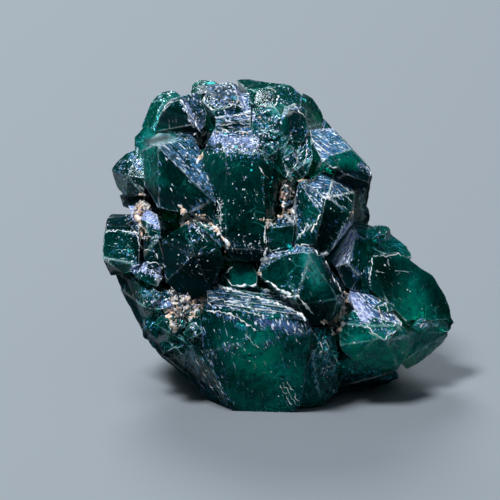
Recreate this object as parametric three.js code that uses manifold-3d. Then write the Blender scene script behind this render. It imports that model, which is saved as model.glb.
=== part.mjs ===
// Dioptase specimen: a thumbnail cluster of intergrown green crystals, with pinkish tan
// matrix in the seams between them. Millimetres, +Z up. The specimen stands on the flat
// cuts at z = 0, with the origin under the middle of its box.
//
// The crystals are described as they are seen from the front, 20 degrees from above:
// x runs right, y runs up and z comes toward the viewer. One turned group then stands
// the finished specimen upright.
import * as THREE from 'three';
import Module from 'manifold-3d';

const wasm = await Module();
wasm.setup();

// Driving dimensions, in millimetres and degrees
const VIEW_TILT = 20;
const REST_HEIGHT = -9.6;
const CAP_ANGLE = 51;
const ROOT_SHARE = 0.55;
const FACET_JOIN = 14;
const SEAM_GAP = 0.3;
const GROUND_REACH = 40;
const SAME_POINT = 1e-5;
const ON_PLANE = 1e-7;

// Crystals that show at the front: the corners of their faces, and the point deep in the
// cluster that they grow from
const FRONT_CRYSTALS = {
  centre: {
    root: [-2.5, 2, -2],
    corners: [
      [-5.6, 5.9, 5.6], [-3.8, 6.3, 7.2], [-3.8, -0.6, 7.9], [-1.2, 5.7, 7.4], [-0.8, -0.9, 7.7],
      [-5.3, 0.6, 6.2], [-4.6, 8.0, 4.6], [-2.1, 8.3, 4.4], [-0.1, 4.6, 6.0], [-0.1, 2.6, 5.8],
      [-3.2, -1.6, 7.2], [-1.4, -1.6, 7.2],
    ],
  },
  centreRough: {
    root: [-1.5, 3, -1],
    corners: [
      [-1.9, 8.6, 4.0], [0.2, 8.9, 3.6], [1.4, 8.2, 3.8], [1.8, 6.0, 4.8], [0.9, 4.0, 6.0],
      [-1.4, 5.8, 7.0], [-2.0, 7.6, 5.4], [0.4, 6.6, 6.0],
    ],
  },
  roughArch: {
    root: [0, 4, -1],
    corners: [
      [0.2, 8.9, 4.3], [1.0, 9.3, 4.1], [1.8, 8.7, 4.3], [2.1, 7.6, 4.6], [1.6, 6.8, 5.1],
      [0.3, 7.1, 5.3], [0.0, 8.3, 4.8], [0.4, 9.5, 3.2], [1.2, 9.8, 2.9], [2.0, 9.3, 3.1],
    ],
  },
  roughSide: {
    root: [0, 3, -1],
    corners: [
      [1.4, 7.2, 4.6], [2.2, 7.4, 4.4], [2.4, 5.8, 5.4], [2.0, 4.6, 5.8], [1.2, 5.0, 5.8],
    ],
  },
  upperLeft: {
    root: [-4, 3, -2],
    corners: [
      [-8.7, 6.6, 6.0], [-4.4, 2.6, 7.4], [-5.9, 7.2, 4.4], [-9.7, 6.4, 4.4], [-9.5, 3.6, 5.0],
      [-8.5, 2.2, 6.0], [-4.6, 1.3, 7.0], [-6.9, 1.9, 6.8], [-9.4, 7.0, 4.2], [-8.6, 7.6, 3.2],
      [-7.4, 7.7, 3.0], [-6.4, 7.6, 3.0], [-7.6, 7.1, 4.9],
    ],
  },
  leftBall: {
    root: [-4, 3.6, -1],
    corners: [
      [-12.0, 5.0, 1.5], [-11.6, 5.7, 1.2], [-11.0, 6.2, 1.2], [-10.1, 6.5, 1.8], [-9.6, 5.5, 3.2],
      [-9.5, 4.3, 4.4],
      [-9.6, 3.1, 4.0], [-10.9, 3.0, 2.8], [-11.5, 3.7, 1.8], [-10.8, 4.6, 3.8],
    ],
  },
  leftBehind: {
    root: [-6, 2, -2],
    corners: [
      [-11.4, 3.2, 0], [-11.2, 2.4, 0], [-10.6, 2.2, 0.6], [-11.0, 3.4, 1.0], [-9.2, 3.4, 1.2],
      [-9.2, 2.4, 1.2],
    ],
  },
  leftBlock: {
    root: [-7, 0, -2],
    corners: [
      [-12.3, 1.6, 2.8], [-11.9, 1.9, 2.2], [-10.0, 1.9, 4.1], [-12.4, 0.6, 3.3], [-9.9, 0.6, 5.0],
      [-12.6, -1.3, 3.2], [-12.1, -2.1, 2.6], [-12.0, -2.6, 2.2], [-9.9, -1.8, 5.2],
      [-11.0, -2.5, 4.0], [-9.8, 0.0, 5.2],
    ],
  },
  leftLavender: {
    root: [-6, 0, -2],
    corners: [
      [-10.6, 2.4, 3.6], [-9.5, 2.4, 4.4], [-8.6, 1.8, 5.4], [-8.4, 0.9, 6.2], [-9.4, 1.3, 5.8],
      [-10.5, 1.9, 4.6], [-9.2, 0.1, 6.0], [-8.3, 0.1, 6.2],
    ],
  },
  leftSlim: {
    root: [-6, 0, -2],
    corners: [
      [-9.6, 0.4, 5.4], [-8.6, 0.4, 6.2], [-8.0, -1.6, 6.4], [-8.4, -2.4, 6.0], [-9.6, -1.4, 5.6],
    ],
  },
  upperLeftPeak: {
    root: [-4, 5, -3],
    corners: [
      [-7.1, 10.2, 3.0], [-8.3, 9.2, 2.6], [-8.9, 7.7, 2.8], [-5.6, 7.5, 3.8], [-6.2, 8.1, 4.0],
      [-5.8, 10.6, 1.0], [-5.1, 9.1, 2.2], [-5.2, 8.1, 3.0], [-7.9, 10.1, 1.2],
    ],
  },
  topLeftBack: {
    root: [-4, 4, -5],
    corners: [
      [-10.0, 8.2, -3], [-9.7, 9.1, -3.4], [-9.2, 10.1, -4], [-8.6, 10.7, -5], [-7.6, 10.9, -5],
      [-6.9, 10.3, -4], [-8.5, 10.0, -2.5], [-7.1, 8.6, -1.5], [-9.3, 7.5, -1.5],
    ],
  },
  smallBackLeft: {
    root: [-5, 3, -4],
    corners: [
      [-10.4, 6.7, -1], [-10.4, 7.4, -1.4], [-9.6, 8.2, -1.2], [-8.8, 7.9, -0.4], [-9.0, 7.1, 0],
      [-10.1, 6.0, -0.4],
    ],
  },
  topSmall: {
    root: [-3, 5, -4],
    corners: [
      [-6.4, 10.6, -1], [-6.3, 11.2, -1.5], [-5.8, 11.6, -2], [-4.6, 11.5, -2], [-4.0, 10.9, 0],
      [-5.6, 10.4, 1.0],
    ],
  },
  topCube: {
    root: [-3, 4, -2],
    corners: [
      [-5.5, 9.9, 4.0], [-4.8, 11.1, 2.6], [-3.3, 11.3, 2.4], [-2.8, 10.0, 3.8], [-3.0, 9.5, 4.4],
      [-4.7, 9.1, 4.9], [-4.5, 8.6, 4.9], [-2.4, 9.0, 4.4], [-2.1, 9.6, 3.2], [-2.6, 10.6, 2.0],
    ],
  },
  topDome: {
    root: [-1, 4, -5],
    corners: [
      [-3.0, 11.5, -3.5], [-2.1, 11.7, -4], [-0.3, 11.4, -4], [0.9, 11.2, -4], [1.7, 10.4, -3.5],
      [1.8, 9.0, -1.0], [-1.7, 9.5, 0], [-2.4, 10.9, -1.0],
    ],
  },
  topRound: {
    root: [-1, 4, -4],
    corners: [
      [-1.7, 10.5, 0.2], [-1.2, 10.9, -0.5], [-0.3, 10.7, -0.3], [0, 10.1, 0.4], [-0.1, 9.5, 1.6],
      [-1.6, 9.5, 1.8], [-1.9, 8.7, 2.4], [0.2, 8.8, 2.2],
    ],
  },
  topTealStep: {
    root: [-1, 4, -3],
    corners: [
      [-2.2, 10.0, 1.6], [-1.6, 9.2, 3.0], [-0.4, 9.3, 2.6], [-0.3, 8.6, 3.2], [-2.0, 8.4, 3.8],
    ],
  },
  topRightBack: {
    root: [0, 4, -5],
    corners: [
      [1.7, 10.6, -3], [2.4, 10.2, -4], [3.1, 9.3, -4], [3.4, 8.4, -3.5], [3.1, 7.9, -2.5],
      [2.1, 7.9, 0], [1.5, 9.6, -1],
    ],
  },
  rightTop: {
    root: [1, 3, -2],
    corners: [
      [2.1, 7.9, 4.2], [3.8, 8.0, 3.0], [5.1, 6.4, 4.4], [3.6, 6.0, 5.8], [2.3, 7.0, 5.2],
      [6.5, 5.1, 3.8], [6.3, 4.0, 4.2], [4.7, 4.6, 5.6], [3.0, 5.5, 6.0],
    ],
  },
  rightRim: {
    root: [1, 2, -3],
    corners: [
      [4.6, 7.3, 0.6], [5.7, 6.0, 0.8], [6.6, 4.9, 1.2], [6.4, 2.9, 1.8], [5.9, 1.3, 2.6],
      [5.2, 1.3, 3.6], [5.2, 3.6, 3.6], [3.4, 8.2, 0.4],
    ],
  },
  innerRightSmall: {
    root: [-1, 0, -2],
    corners: [
      [-0.8, 0.9, 7.4], [0.3, 1.9, 6.6], [1.0, 1.7, 6.8], [1.1, 1.1, 7.6], [0.8, -0.5, 7.8],
      [-1.0, -0.9, 7.6],
    ],
  },
  innerRight: {
    root: [1, 1, -2],
    corners: [
      [1.4, 4.3, 6.6], [3.1, 3.1, 6.6], [2.9, 1.8, 7.6], [2.4, -0.4, 7.4], [0.9, -0.6, 7.4],
      [0.8, 1.9, 6.9], [1.1, 3.0, 6.9], [1.9, 4.2, 6.2],
    ],
  },
  rightStriated: {
    root: [1, 1, -2],
    corners: [
      [1.7, 4.1, 5.2], [2.9, 4.9, 4.4], [4.0, 4.9, 4.2], [5.4, 3.4, 4.6], [5.2, 2.0, 5.4],
      [3.3, 3.0, 6.8], [4.9, 1.1, 5.4], [3.6, -0.9, 6.4], [3.0, -1.3, 6.6], [2.4, -0.5, 7.0],
      [5.3, 1.4, 4.8],
    ],
  },
  rightCentre: {
    root: [0, -2, -2],
    corners: [
      [-0.8, -0.7, 7.2], [0.8, -0.6, 7.4], [1.6, -0.2, 7.2], [2.3, -0.4, 7.0], [3.6, -2.1, 6.6],
      [4.4, -2.9, 6.4], [4.8, -3.6, 6.2], [4.5, -4.7, 6.6], [3.6, -5.9, 6.8], [2.2, -6.1, 7.2],
      [1.2, -4.5, 8.6], [1.9, -0.9, 8.2], [3.2, -2.6, 8.0], [4.1, -4.3, 7.6], [-1.6, -2.4, 7.8],
      [-1.2, -1.4, 7.6], [0.2, -1.0, 8.2],
    ],
  },
  leftCentre: {
    root: [-4, -1, -2],
    corners: [
      [-6.4, 1.4, 7.2], [-8.3, 0.0, 6.6], [-4.1, -0.6, 7.6], [-3.9, -1.6, 7.2], [-8.1, -2.9, 6.6],
      [-6.4, -4.5, 6.0], [-4.8, -3.6, 6.6], [-6.0, -1.2, 8.2],
    ],
  },
  centreLeftStrip: {
    root: [-4, 0, -2],
    corners: [
      [-6.2, 1.5, 6.4], [-5.4, 1.7, 6.2], [-4.0, 0.2, 7.0], [-3.4, -0.6, 7.2], [-4.2, -0.5, 7.3],
      [-5.2, 0.8, 7.1],
    ],
  },
  lowerCentre: {
    root: [-1, -4, -2],
    corners: [
      [-5.4, -4.6, 7.9], [1.9, -5.6, 8.6], [2.2, -7.5, 8.0], [1.5, -11.2, 5.6], [0.8, -12.0, 5.1],
      [-3.4, -12.1, 5.0], [-5.5, -7.5, 7.2], [-4.8, -3.9, 6.6], [1.2, -4.6, 7.0], [2.4, -6.4, 8.0],
    ],
  },
  ledgeTeal: {
    root: [-2, -3, 0],
    corners: [
      [-4.4, -3.4, 6.2], [-3.5, -1.7, 6.2], [-2.1, -1.4, 6.6], [-1.5, -2.4, 7.0], [-1.6, -3.3, 7.0],
    ],
  },
  leftLower: {
    root: [-5, -4, -3],
    corners: [
      [-11.7, -2.3, 2.2], [-10.9, -3.9, 2.0], [-10.0, -6.0, 2.0], [-9.0, -7.8, 2.2], [-8.1, -8.6, 2.4],
      [-6.7, -9.5, 3.6], [-6.4, -7.4, 6.4], [-8.4, -6.0, 5.4], [-9.8, -3.2, 4.4], [-10.2, -2.0, 3.6],
    ],
  },
  leftRoughA: {
    root: [-6, -2, -2],
    corners: [
      [-10.6, -2.2, 4.4], [-9.6, -1.8, 5.2], [-8.6, -1.8, 5.6], [-8.2, -2.6, 5.9], [-8.6, -3.3, 6.0],
      [-10.0, -2.8, 5.2], [-10.6, -1.5, 3.4], [-9.4, -1.2, 4.0],
    ],
  },
  leftRoughB: {
    root: [-6, -3, -2],
    corners: [
      [-9.8, -3.4, 4.6], [-9.0, -3.0, 5.2], [-7.8, -3.6, 5.7], [-7.4, -4.6, 6.0], [-8.6, -5.0, 6.1],
      [-9.6, -4.6, 5.3],
    ],
  },
  leftRoughC: {
    root: [-5, -4, -2],
    corners: [
      [-8.6, -5.1, 5.2], [-7.6, -4.6, 5.5], [-6.6, -4.9, 6.0], [-6.6, -6.2, 6.3], [-7.8, -6.6, 6.0],
      [-8.9, -6.2, 5.4],
    ],
  },
  leftRoughD: {
    root: [-4, -4, -2],
    corners: [[-6.6, -5.0, 6.2], [-5.6, -4.9, 6.8], [-5.4, -6.4, 7.2], [-6.2, -6.9, 6.8]],
  },
  footLeft: {
    root: [-3, -5, -3],
    corners: [
      [-8.0, -8.5, 2.2], [-6.5, -9.6, 2.2], [-5.6, -10.6, 2.4], [-4.9, -11.5, 3.2], [-3.5, -12.1, 4.6],
      [-4.6, -9.2, 6.6], [-6.4, -7.4, 6.4], [-5.2, -7.0, 7.0],
    ],
  },
  betweenLow: {
    root: [1, -5, -2],
    corners: [
      [2.0, -6.0, 7.0], [3.8, -6.2, 6.2], [4.3, -9.0, 4.8], [4.1, -10.7, 4.0], [3.0, -11.8, 4.6],
      [1.2, -12.0, 4.9], [2.2, -8.0, 6.8],
    ],
  },
  lowerRight: {
    root: [3, -4, -2],
    corners: [
      [4.2, -5.9, 6.4], [5.2, -4.9, 6.0], [6.4, -6.0, 6.6], [6.9, -7.0, 6.8], [7.7, -7.0, 6.4],
      [8.7, -6.0, 5.4], [9.3, -6.8, 4.8], [9.0, -8.2, 4.6], [8.3, -9.3, 4.2], [5.1, -8.6, 5.8],
      [4.2, -7.5, 6.4],
    ],
  },
  lowerRightTop: {
    root: [3, -3, -2],
    corners: [
      [4.9, -3.4, 5.0], [5.3, -3.3, 4.8], [7.2, -4.2, 4.4], [8.3, -5.3, 4.6], [8.7, -5.9, 5.2],
      [7.6, -6.9, 6.3], [6.7, -6.9, 6.5], [6.4, -5.9, 6.3], [5.1, -4.6, 5.8],
    ],
  },
  lowerRightFoot: {
    root: [3, -4, -3],
    corners: [
      [4.1, -8.6, 4.6], [8.4, -9.2, 3.6], [8.6, -9.9, 2.0], [7.0, -10.6, 0.9], [4.8, -10.8, 1.6],
      [4.0, -10.7, 3.0], [5.2, -8.4, 5.2],
    ],
  },
  rightTealTop: {
    root: [2, -1, -3],
    corners: [
      [5.1, 1.1, 2.6], [5.9, 1.3, 1.4], [7.1, 0.8, 0.6], [7.9, 0.6, 0], [9.1, -0.4, 0],
      [9.5, -1.2, 0.6], [9.2, -1.9, 1.0], [8.4, -1.4, 2.2], [6.5, -1.7, 3.6], [6.3, -0.4, 3.4],
    ],
  },
  rightLavender: {
    root: [2, -1, -2],
    corners: [
      [3.7, -1.6, 5.2], [5.1, 0.9, 3.8], [5.3, 0.4, 4.4], [4.9, -1.6, 5.4], [4.0, -2.0, 5.8],
      [6.2, 0.0, 4.0], [6.5, -3.9, 4.8], [4.7, -3.4, 5.4],
    ],
  },
  rightMain: {
    root: [3, -2, -4],
    corners: [
      [6.5, -1.1, 4.4], [8.4, -0.8, 3.0], [9.5, -1.6, 2.0], [10.8, -2.5, 1.0], [11.9, -4.3, 0.6],
      [12.2, -5.6, 0.8], [10.4, -5.7, 2.6], [8.8, -5.7, 4.0], [7.6, -4.4, 4.8], [6.5, -3.6, 5.0],
      [6.4, -2.6, 5.0],
    ],
  },
  rightEnd: {
    root: [5, -4, -4],
    corners: [
      [11.6, -4.4, 0.2], [12.2, -5.0, -0.4], [12.6, -5.9, -0.4], [12.2, -6.6, 0.4], [10.6, -6.6, 2.0],
      [10.2, -5.7, 2.4],
    ],
  },
  rightBar: {
    root: [4, -4, -4],
    corners: [
      [9.2, -6.3, 3.2], [12.2, -6.6, 0.2], [11.9, -7.4, -0.2], [10.9, -8.2, 0.2], [9.2, -9.3, 1.4],
      [8.7, -8.9, 3.0],
    ],
  },
};

// Crystals at the back and the base, with the habit of the mineral: a six-sided prism and
// a three-faced cap. Directions are degrees right and degrees up of the viewer.
const HABIT_CRYSTALS = {
  backMiddle: { mid: [-1.8, 2.2, -4.5], axis: [176, 8], side: [90, 12], radius: 3.1, cap: 5.2 },
  backTop: { mid: [-3.2, 7.0, -4.6], axis: [-165, 52], side: [-90, 0], radius: 2.5, cap: 4.4 },
  backUpperLeft: { mid: [-7.0, 5.0, -4.4], axis: [-145, 28], side: [-60, 10], radius: 2.4, cap: 4.2 },
  backLeft: { mid: [-8.0, 0.6, -3.6], axis: [-128, -4], side: [-40, 20], radius: 2.6, cap: 4.4 },
  backLowerLeft: { mid: [-5.8, -4.0, -3.6], axis: [-145, -24], side: [-50, 30], radius: 2.5, cap: 4.6 },
  backLow: { mid: [-1.6, -5.4, -4.0], axis: [178, -30], side: [90, 0], radius: 2.8, cap: 5.0 },
  backRight: { mid: [2.8, 1.6, -3.4], axis: [142, 8], side: [60, 30], radius: 2.4, cap: 4.6 },
  backLowerRight: { mid: [4.2, -4.2, -3.4], axis: [150, -18], side: [60, 10], radius: 2.6, cap: 4.8 },
  backRightLobe: { mid: [7.4, -3.8, -1.0], axis: [128, -6], side: [30, 20], radius: 1.9, cap: 3.4 },
  backTopRight: { mid: [0.4, 6.6, -4.6], axis: [156, 40], side: [60, 0], radius: 2.1, cap: 3.8 },
  backSmallA: { mid: [-5.2, -0.8, -6.6], axis: [-160, -6], side: [90, 30], radius: 1.5, cap: 3.0 },
  backSmallB: { mid: [0.9, 5.0, -7.0], axis: [160, 24], side: [90, 0], radius: 1.4, cap: 2.8 },
  backSmallC: { mid: [-5.0, 4.4, -7.2], axis: [-158, 18], side: [90, 40], radius: 1.3, cap: 2.6 },
  baseLeft: { mid: [-4.6, -6.4, -0.4], axis: [-110, -62], side: [0, 0], radius: 2.1, cap: 4.0 },
  baseRight: { mid: [3.4, -7.0, 0.0], axis: [110, -66], side: [0, 0], radius: 2.4, cap: 4.0 },
  baseMiddle: { mid: [-1.0, -7.6, 0.6], axis: [180, -80], side: [90, 0], radius: 2.8, cap: 5.0 },
};
const HABIT_FOOT = 5;
const CAP_START = 30;
const FOOT_START = 90;

// Broken chips of crystal where the surface is rough, each turned so that no two look alike
const CHIPS = [
  { mid: [-0.9, 7.2, 5.1], radii: [0.8, 0.55, 0.7], turned: 10 },
  { mid: [-0.2, 8.1, 4.1], radii: [0.6, 0.7, 0.7], turned: 80 },
  { mid: [0.6, 5.7, 5.4], radii: [0.7, 0.9, 0.8], turned: 200 },
  { mid: [-0.6, 6.2, 6.2], radii: [0.55, 0.7, 0.6], turned: 130 },
  { mid: [1.2, 5.0, 5.4], radii: [0.6, 0.75, 0.7], turned: 40 },
  { mid: [-1.4, 8.8, 3.5], radii: [0.75, 0.5, 0.6], turned: 300 },
  { mid: [-8.9, -4.2, 5.4], radii: [0.6, 0.85, 0.7], turned: 20 },
  { mid: [-7.7, -5.9, 5.7], radii: [0.95, 0.65, 0.7], turned: 100 },
  { mid: [-5.9, -6.5, 6.6], radii: [0.75, 0.6, 0.7], turned: 250 },
  { mid: [-9.0, -6.2, 4.3], radii: [0.7, 0.9, 0.8], turned: 60 },
  { mid: [-7.2, -7.6, 5.1], radii: [1.0, 0.7, 0.8], turned: 170 },
  { mid: [-5.1, 0.8, 6.5], radii: [0.6, 0.4, 0.5], turned: 0 },
  { mid: [3.0, -7.4, 5.9], radii: [0.6, 0.8, 0.7], turned: 220 },
  { mid: [3.3, -8.8, 5.0], radii: [0.7, 0.55, 0.6], turned: 120 },
  { mid: [7.1, -4.9, 4.7], radii: [0.85, 0.55, 0.7], turned: 330 },
  { mid: [9.9, -6.1, 2.8], radii: [0.75, 0.55, 0.6], turned: 75 },
  { mid: [6.9, 0.4, 2.6], radii: [0.9, 0.6, 0.7], turned: 140 },
  { mid: [-10.3, 1.2, 4.0], radii: [0.5, 0.6, 0.5], turned: 210 },
  { mid: [0.5, 2.35, 5.2], radii: [0.75, 0.7, 0.8], turned: 50 },
];
const CHIP_FACES = 13;

// The middle of the cluster, where all the crystals have grown together
const HEART = { mid: [-1.6, -0.6, -1.2], radii: [7.4, 7.0, 5.4], faces: 30 };

// Growth steps: thin ledges that climb back from an edge
const STEPS = {
  lowerLedge: {
    left: [-5.1, -4.3, 7.7], right: [1.7, -5.25, 8.25], climb: [0, 0.36, -0.42], count: 4,
  },
  cubeLedge: {
    left: [-4.5, 8.1, 5.35], right: [-2.0, 8.55, 4.7], climb: [0, 0.42, -0.3], count: 2,
  },
};
const STEP_RISE = 0.16;
const STEP_DEPTH = 2.4;

// Matrix that shows in the seams and at the back
const MATRIX_LUMPS = {
  matrix_upper_seam: { mid: [-5.0, 1.4, 5.2], radii: [1.9, 1.4, 1.4] },
  matrix_middle_seam: { mid: [0.5, 3.4, 4.7], radii: [0.5, 1.4, 1.25] },
  matrix_left_seam: { mid: [-9.7, 1.3, 3.9], radii: [0.55, 1.5, 1.2] },
  matrix_lower_left: { mid: [-6.6, -4.6, 5.0], radii: [1.7, 1.3, 1.35] },
  matrix_right_seam: { mid: [4.1, -5.2, 5.0], radii: [0.6, 1.4, 1.05] },
  matrix_back: { mid: [-0.6, -1.6, -5.4], radii: [3.0, 2.8, 2.2] },
};
const LUMP_FACES = 26;
const LUMP_WOBBLE = 0.14;
const LUMP_RIPPLE = 5;

// A direction given as degrees right and degrees up of the viewer
function direction([pan, tilt]) {
  const right = THREE.MathUtils.degToRad(pan);
  const up = THREE.MathUtils.degToRad(tilt);
  return new THREE.Vector3(Math.cos(up) * Math.sin(right), Math.sin(up), Math.cos(up) * Math.cos(right));
}

// The plane through three points, facing away from the point inside, with its triangle's area
function planeThrough(a, b, c, inside) {
  const normal = b.clone().sub(a).cross(c.clone().sub(a));
  const area = normal.length() / 2;
  normal.normalize();
  if (normal.dot(inside) > normal.dot(a)) {
    normal.negate();
  }
  return { normal, distance: normal.dot(a), area };
}

// Every plane through three of the points that has no point outside it
function outerPlanes(points) {
  const inside = points.reduce((sum, p) => sum.add(p), new THREE.Vector3()).divideScalar(points.length);
  const planes = [];
  for (let i = 0; i < points.length; i++) {
    for (let j = i + 1; j < points.length; j++) {
      for (let k = j + 1; k < points.length; k++) {
        const plane = planeThrough(points[i], points[j], points[k], inside);
        const clear = points.every((p) => plane.normal.dot(p) < plane.distance + ON_PLANE);
        if (plane.area > ON_PLANE && clear) {
          planes.push(plane);
        }
      }
    }
  }
  return planes;
}

// Planes that lie nearly level with each other become one facet, the larger ones counting more
function joinLevelPlanes(planes) {
  const nearest = Math.cos(THREE.MathUtils.degToRad(FACET_JOIN));
  let left = [...planes].sort((a, b) => b.area - a.area);
  const facets = [];
  while (left.length > 0) {
    const lead = left[0].normal;
    const group = left.filter((p) => p.normal.dot(lead) > nearest);
    left = left.filter((p) => p.normal.dot(lead) <= nearest);
    const area = group.reduce((sum, p) => sum + p.area, 0);
    const normal = new THREE.Vector3();
    group.forEach((p) => normal.addScaledVector(p.normal, p.area));
    normal.normalize();
    const middle = group.reduce((sum, p) => sum + p.area * p.distance * p.normal.dot(normal), 0);
    facets.push({ normal, distance: middle / area });
  }
  return facets;
}

// A crystal given by its corners: they narrow toward its root, which lies in the cluster
function cornerFacets({ corners, root }) {
  const foot = new THREE.Vector3(...root);
  const front = corners.map((c) => new THREE.Vector3(...c));
  const back = front.map((c) => foot.clone().lerp(c, ROOT_SHARE));
  return joinLevelPlanes(outerPlanes([...front, ...back]));
}

// A crystal given by its habit: six prism sides, and a three-faced cap on each end
function habitFacets({ mid, axis, side, radius, cap }) {
  const along = direction(axis);
  const first = direction(side).projectOnPlane(along).normalize();
  const second = along.clone().cross(first);
  const middle = new THREE.Vector3(...mid);
  const lean = THREE.MathUtils.degToRad(CAP_ANGLE);
  const around = (degrees) => {
    const angle = THREE.MathUtils.degToRad(degrees);
    return first.clone().multiplyScalar(Math.cos(angle)).addScaledVector(second, Math.sin(angle));
  };
  const facets = [];
  for (let k = 0; k < 6; k++) {
    const normal = around(60 * k);
    facets.push({ normal, distance: radius + normal.dot(middle) });
  }
  for (const [end, reach, start] of [[1, cap, CAP_START], [-1, HABIT_FOOT, FOOT_START]]) {
    for (let k = 0; k < 3; k++) {
      const normal = around(start + 120 * k).multiplyScalar(Math.sin(lean));
      normal.addScaledVector(along, end * Math.cos(lean));
      facets.push({ normal, distance: reach * Math.cos(lean) + normal.dot(middle) });
    }
  }
  return facets;
}

// A rounded lump with many small flat faces, evenly spread along a spiral
function lumpFacets({ mid, radii, faces = LUMP_FACES, turned = 0 }) {
  const middle = new THREE.Vector3(...mid);
  const turn = Math.PI * (3 - Math.sqrt(5));
  const start = THREE.MathUtils.degToRad(turned);
  const facets = [];
  for (let k = 0; k < faces; k++) {
    const height = 1 - (2 * k + 1) / faces;
    const ring = Math.sqrt(1 - height * height);
    const angle = start + turn * k;
    const unit = new THREE.Vector3(ring * Math.cos(angle), height, ring * Math.sin(angle));
    const point = unit.clone().multiply(new THREE.Vector3(...radii));
    const normal = unit.clone().divide(new THREE.Vector3(...radii)).normalize();
    const wobble = 1 + LUMP_WOBBLE * Math.sin(LUMP_RIPPLE * k);
    facets.push({ normal, distance: wobble * point.dot(normal) + normal.dot(middle) });
  }
  return facets;
}

// The ledges of one flight of growth steps, each a thin slab whose tread slopes up and back
function stepFacets({ left, right, climb, count }) {
  const slabs = [];
  for (let k = 0; k < count; k++) {
    const corners = [];
    for (const end of [left, right]) {
      const edge = new THREE.Vector3(...end).addScaledVector(new THREE.Vector3(...climb), k);
      const tread = new THREE.Vector3(...climb).sub(new THREE.Vector3(0, STEP_RISE, 0));
      const rear = edge.clone().addScaledVector(tread.normalize(), STEP_DEPTH);
      const below = new THREE.Vector3(0, -STEP_DEPTH / 2, 0);
      corners.push(edge, rear, edge.clone().addScaledVector(below, 0.5), rear.clone().add(below));
    }
    slabs.push(joinLevelPlanes(outerPlanes(corners)));
  }
  return slabs;
}

// The points where three or more facets meet on the outside of the solid
function cornersOf(facets) {
  const corners = [];
  const system = new THREE.Matrix3();
  for (let i = 0; i < facets.length; i++) {
    for (let j = i + 1; j < facets.length; j++) {
      for (let k = j + 1; k < facets.length; k++) {
        const [a, b, c] = [facets[i], facets[j], facets[k]];
        system.set(...a.normal.toArray(), ...b.normal.toArray(), ...c.normal.toArray());
        if (Math.abs(system.determinant()) < ON_PLANE) {
          continue;
        }
        const point = new THREE.Vector3(a.distance, b.distance, c.distance).applyMatrix3(system.invert());
        if (facets.some((f) => f.normal.dot(point) > f.distance + ON_PLANE)) {
          continue;
        }
        const known = corners.find((corner) => corner.point.distanceTo(point) < SAME_POINT);
        const meeting = known ?? { point, facets: new Set() };
        [i, j, k].forEach((facet) => meeting.facets.add(facet));
        if (!known) {
          corners.push(meeting);
        }
      }
    }
  }
  return corners;
}

// The closed solid inside a set of facets: each facet is a fan over its corners in order
function solidInside(facets) {
  const corners = cornersOf(facets);
  const triangles = [];
  facets.forEach(({ normal }, facet) => {
    const ring = [...corners.keys()].filter((i) => corners[i].facets.has(facet));
    if (ring.length < 3) {
      return;
    }
    const centre = ring.reduce((sum, i) => sum.add(corners[i].point), new THREE.Vector3());
    centre.divideScalar(ring.length);
    const across = corners[ring[0]].point.clone().sub(centre).normalize();
    const over = normal.clone().cross(across);
    const angle = (i) => {
      const offset = corners[i].point.clone().sub(centre);
      return Math.atan2(offset.dot(over), offset.dot(across));
    };
    ring.sort((a, b) => angle(a) - angle(b));
    for (let k = 1; k + 1 < ring.length; k++) {
      triangles.push(ring[0], ring[k], ring[k + 1]);
    }
  });
  return new wasm.Manifold(new wasm.Mesh({
    numProp: 3,
    vertProperties: new Float32Array(corners.flatMap((corner) => corner.point.toArray())),
    triVerts: new Uint32Array(triangles),
  }));
}

// The outer skin of the largest body, so that no sealed hole is left where crystals meet
function largestBody(solid) {
  return solid.decompose().reduce((best, body) => (body.volume() > best.volume() ? body : best));
}

// Everything below the surface that the specimen rests on, as one deep block
function groundFacets() {
  const up = direction([0, 90 - VIEW_TILT]);
  const block = [{ normal: up, distance: REST_HEIGHT }];
  for (const way of [[90, 0], [-90, 0], [0, 0], [180, 0], [0, -90]]) {
    block.push({ normal: direction(way), distance: GROUND_REACH });
  }
  return block;
}

// A solid's corners and triangles, for the mesh that shows it
function geometryOf(solid) {
  const mesh = solid.getMesh();
  const geometry = new THREE.BufferGeometry();
  geometry.setAttribute('position', new THREE.BufferAttribute(mesh.vertProperties, 3));
  geometry.setIndex(new THREE.BufferAttribute(mesh.triVerts, 1));
  return geometry;
}

const frontFacets = Object.values(FRONT_CRYSTALS).map(cornerFacets);
const habitList = Object.values(HABIT_CRYSTALS).map(habitFacets);
const chipList = CHIPS.map((chip) => lumpFacets({ ...chip, faces: CHIP_FACES }));
const stepList = Object.values(STEPS).flatMap(stepFacets);
const allFacets = [...frontFacets, ...habitList, ...chipList, ...stepList, lumpFacets(HEART)];
const ground = solidInside(groundFacets());

// All the crystals grown into one, cut flat where the specimen rests
function crystalSolid() {
  const joined = allFacets.map(solidInside).reduce((sum, solid) => sum.add(solid));
  return largestBody(joined.subtract(ground));
}

// One lump of matrix, cut back from every crystal that it touches
function matrixSolid(lump) {
  const grown = allFacets.map((facets) => (
    facets.map(({ normal, distance }) => ({ normal, distance: distance + SEAM_GAP }))
  ));
  const whole = solidInside(lumpFacets(lump));
  return largestBody(grown.map(solidInside).reduce((rest, solid) => rest.subtract(solid), whole));
}

const dioptase = new THREE.MeshStandardMaterial({ color: 0x0b4a3c, roughness: 0.12, metalness: 0 });
const matrix = new THREE.MeshStandardMaterial({ color: 0xc9a994, roughness: 0.85, metalness: 0 });

const specimen = new THREE.Group();
specimen.rotation.x = THREE.MathUtils.degToRad(90 - VIEW_TILT);

const crystals = new THREE.Mesh(geometryOf(crystalSolid()), dioptase);
crystals.name = 'dioptase_crystals';
specimen.add(crystals);

for (const [name, lump] of Object.entries(MATRIX_LUMPS)) {
  const piece = new THREE.Mesh(geometryOf(matrixSolid(lump)), matrix);
  piece.name = name;
  specimen.add(piece);
}

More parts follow.
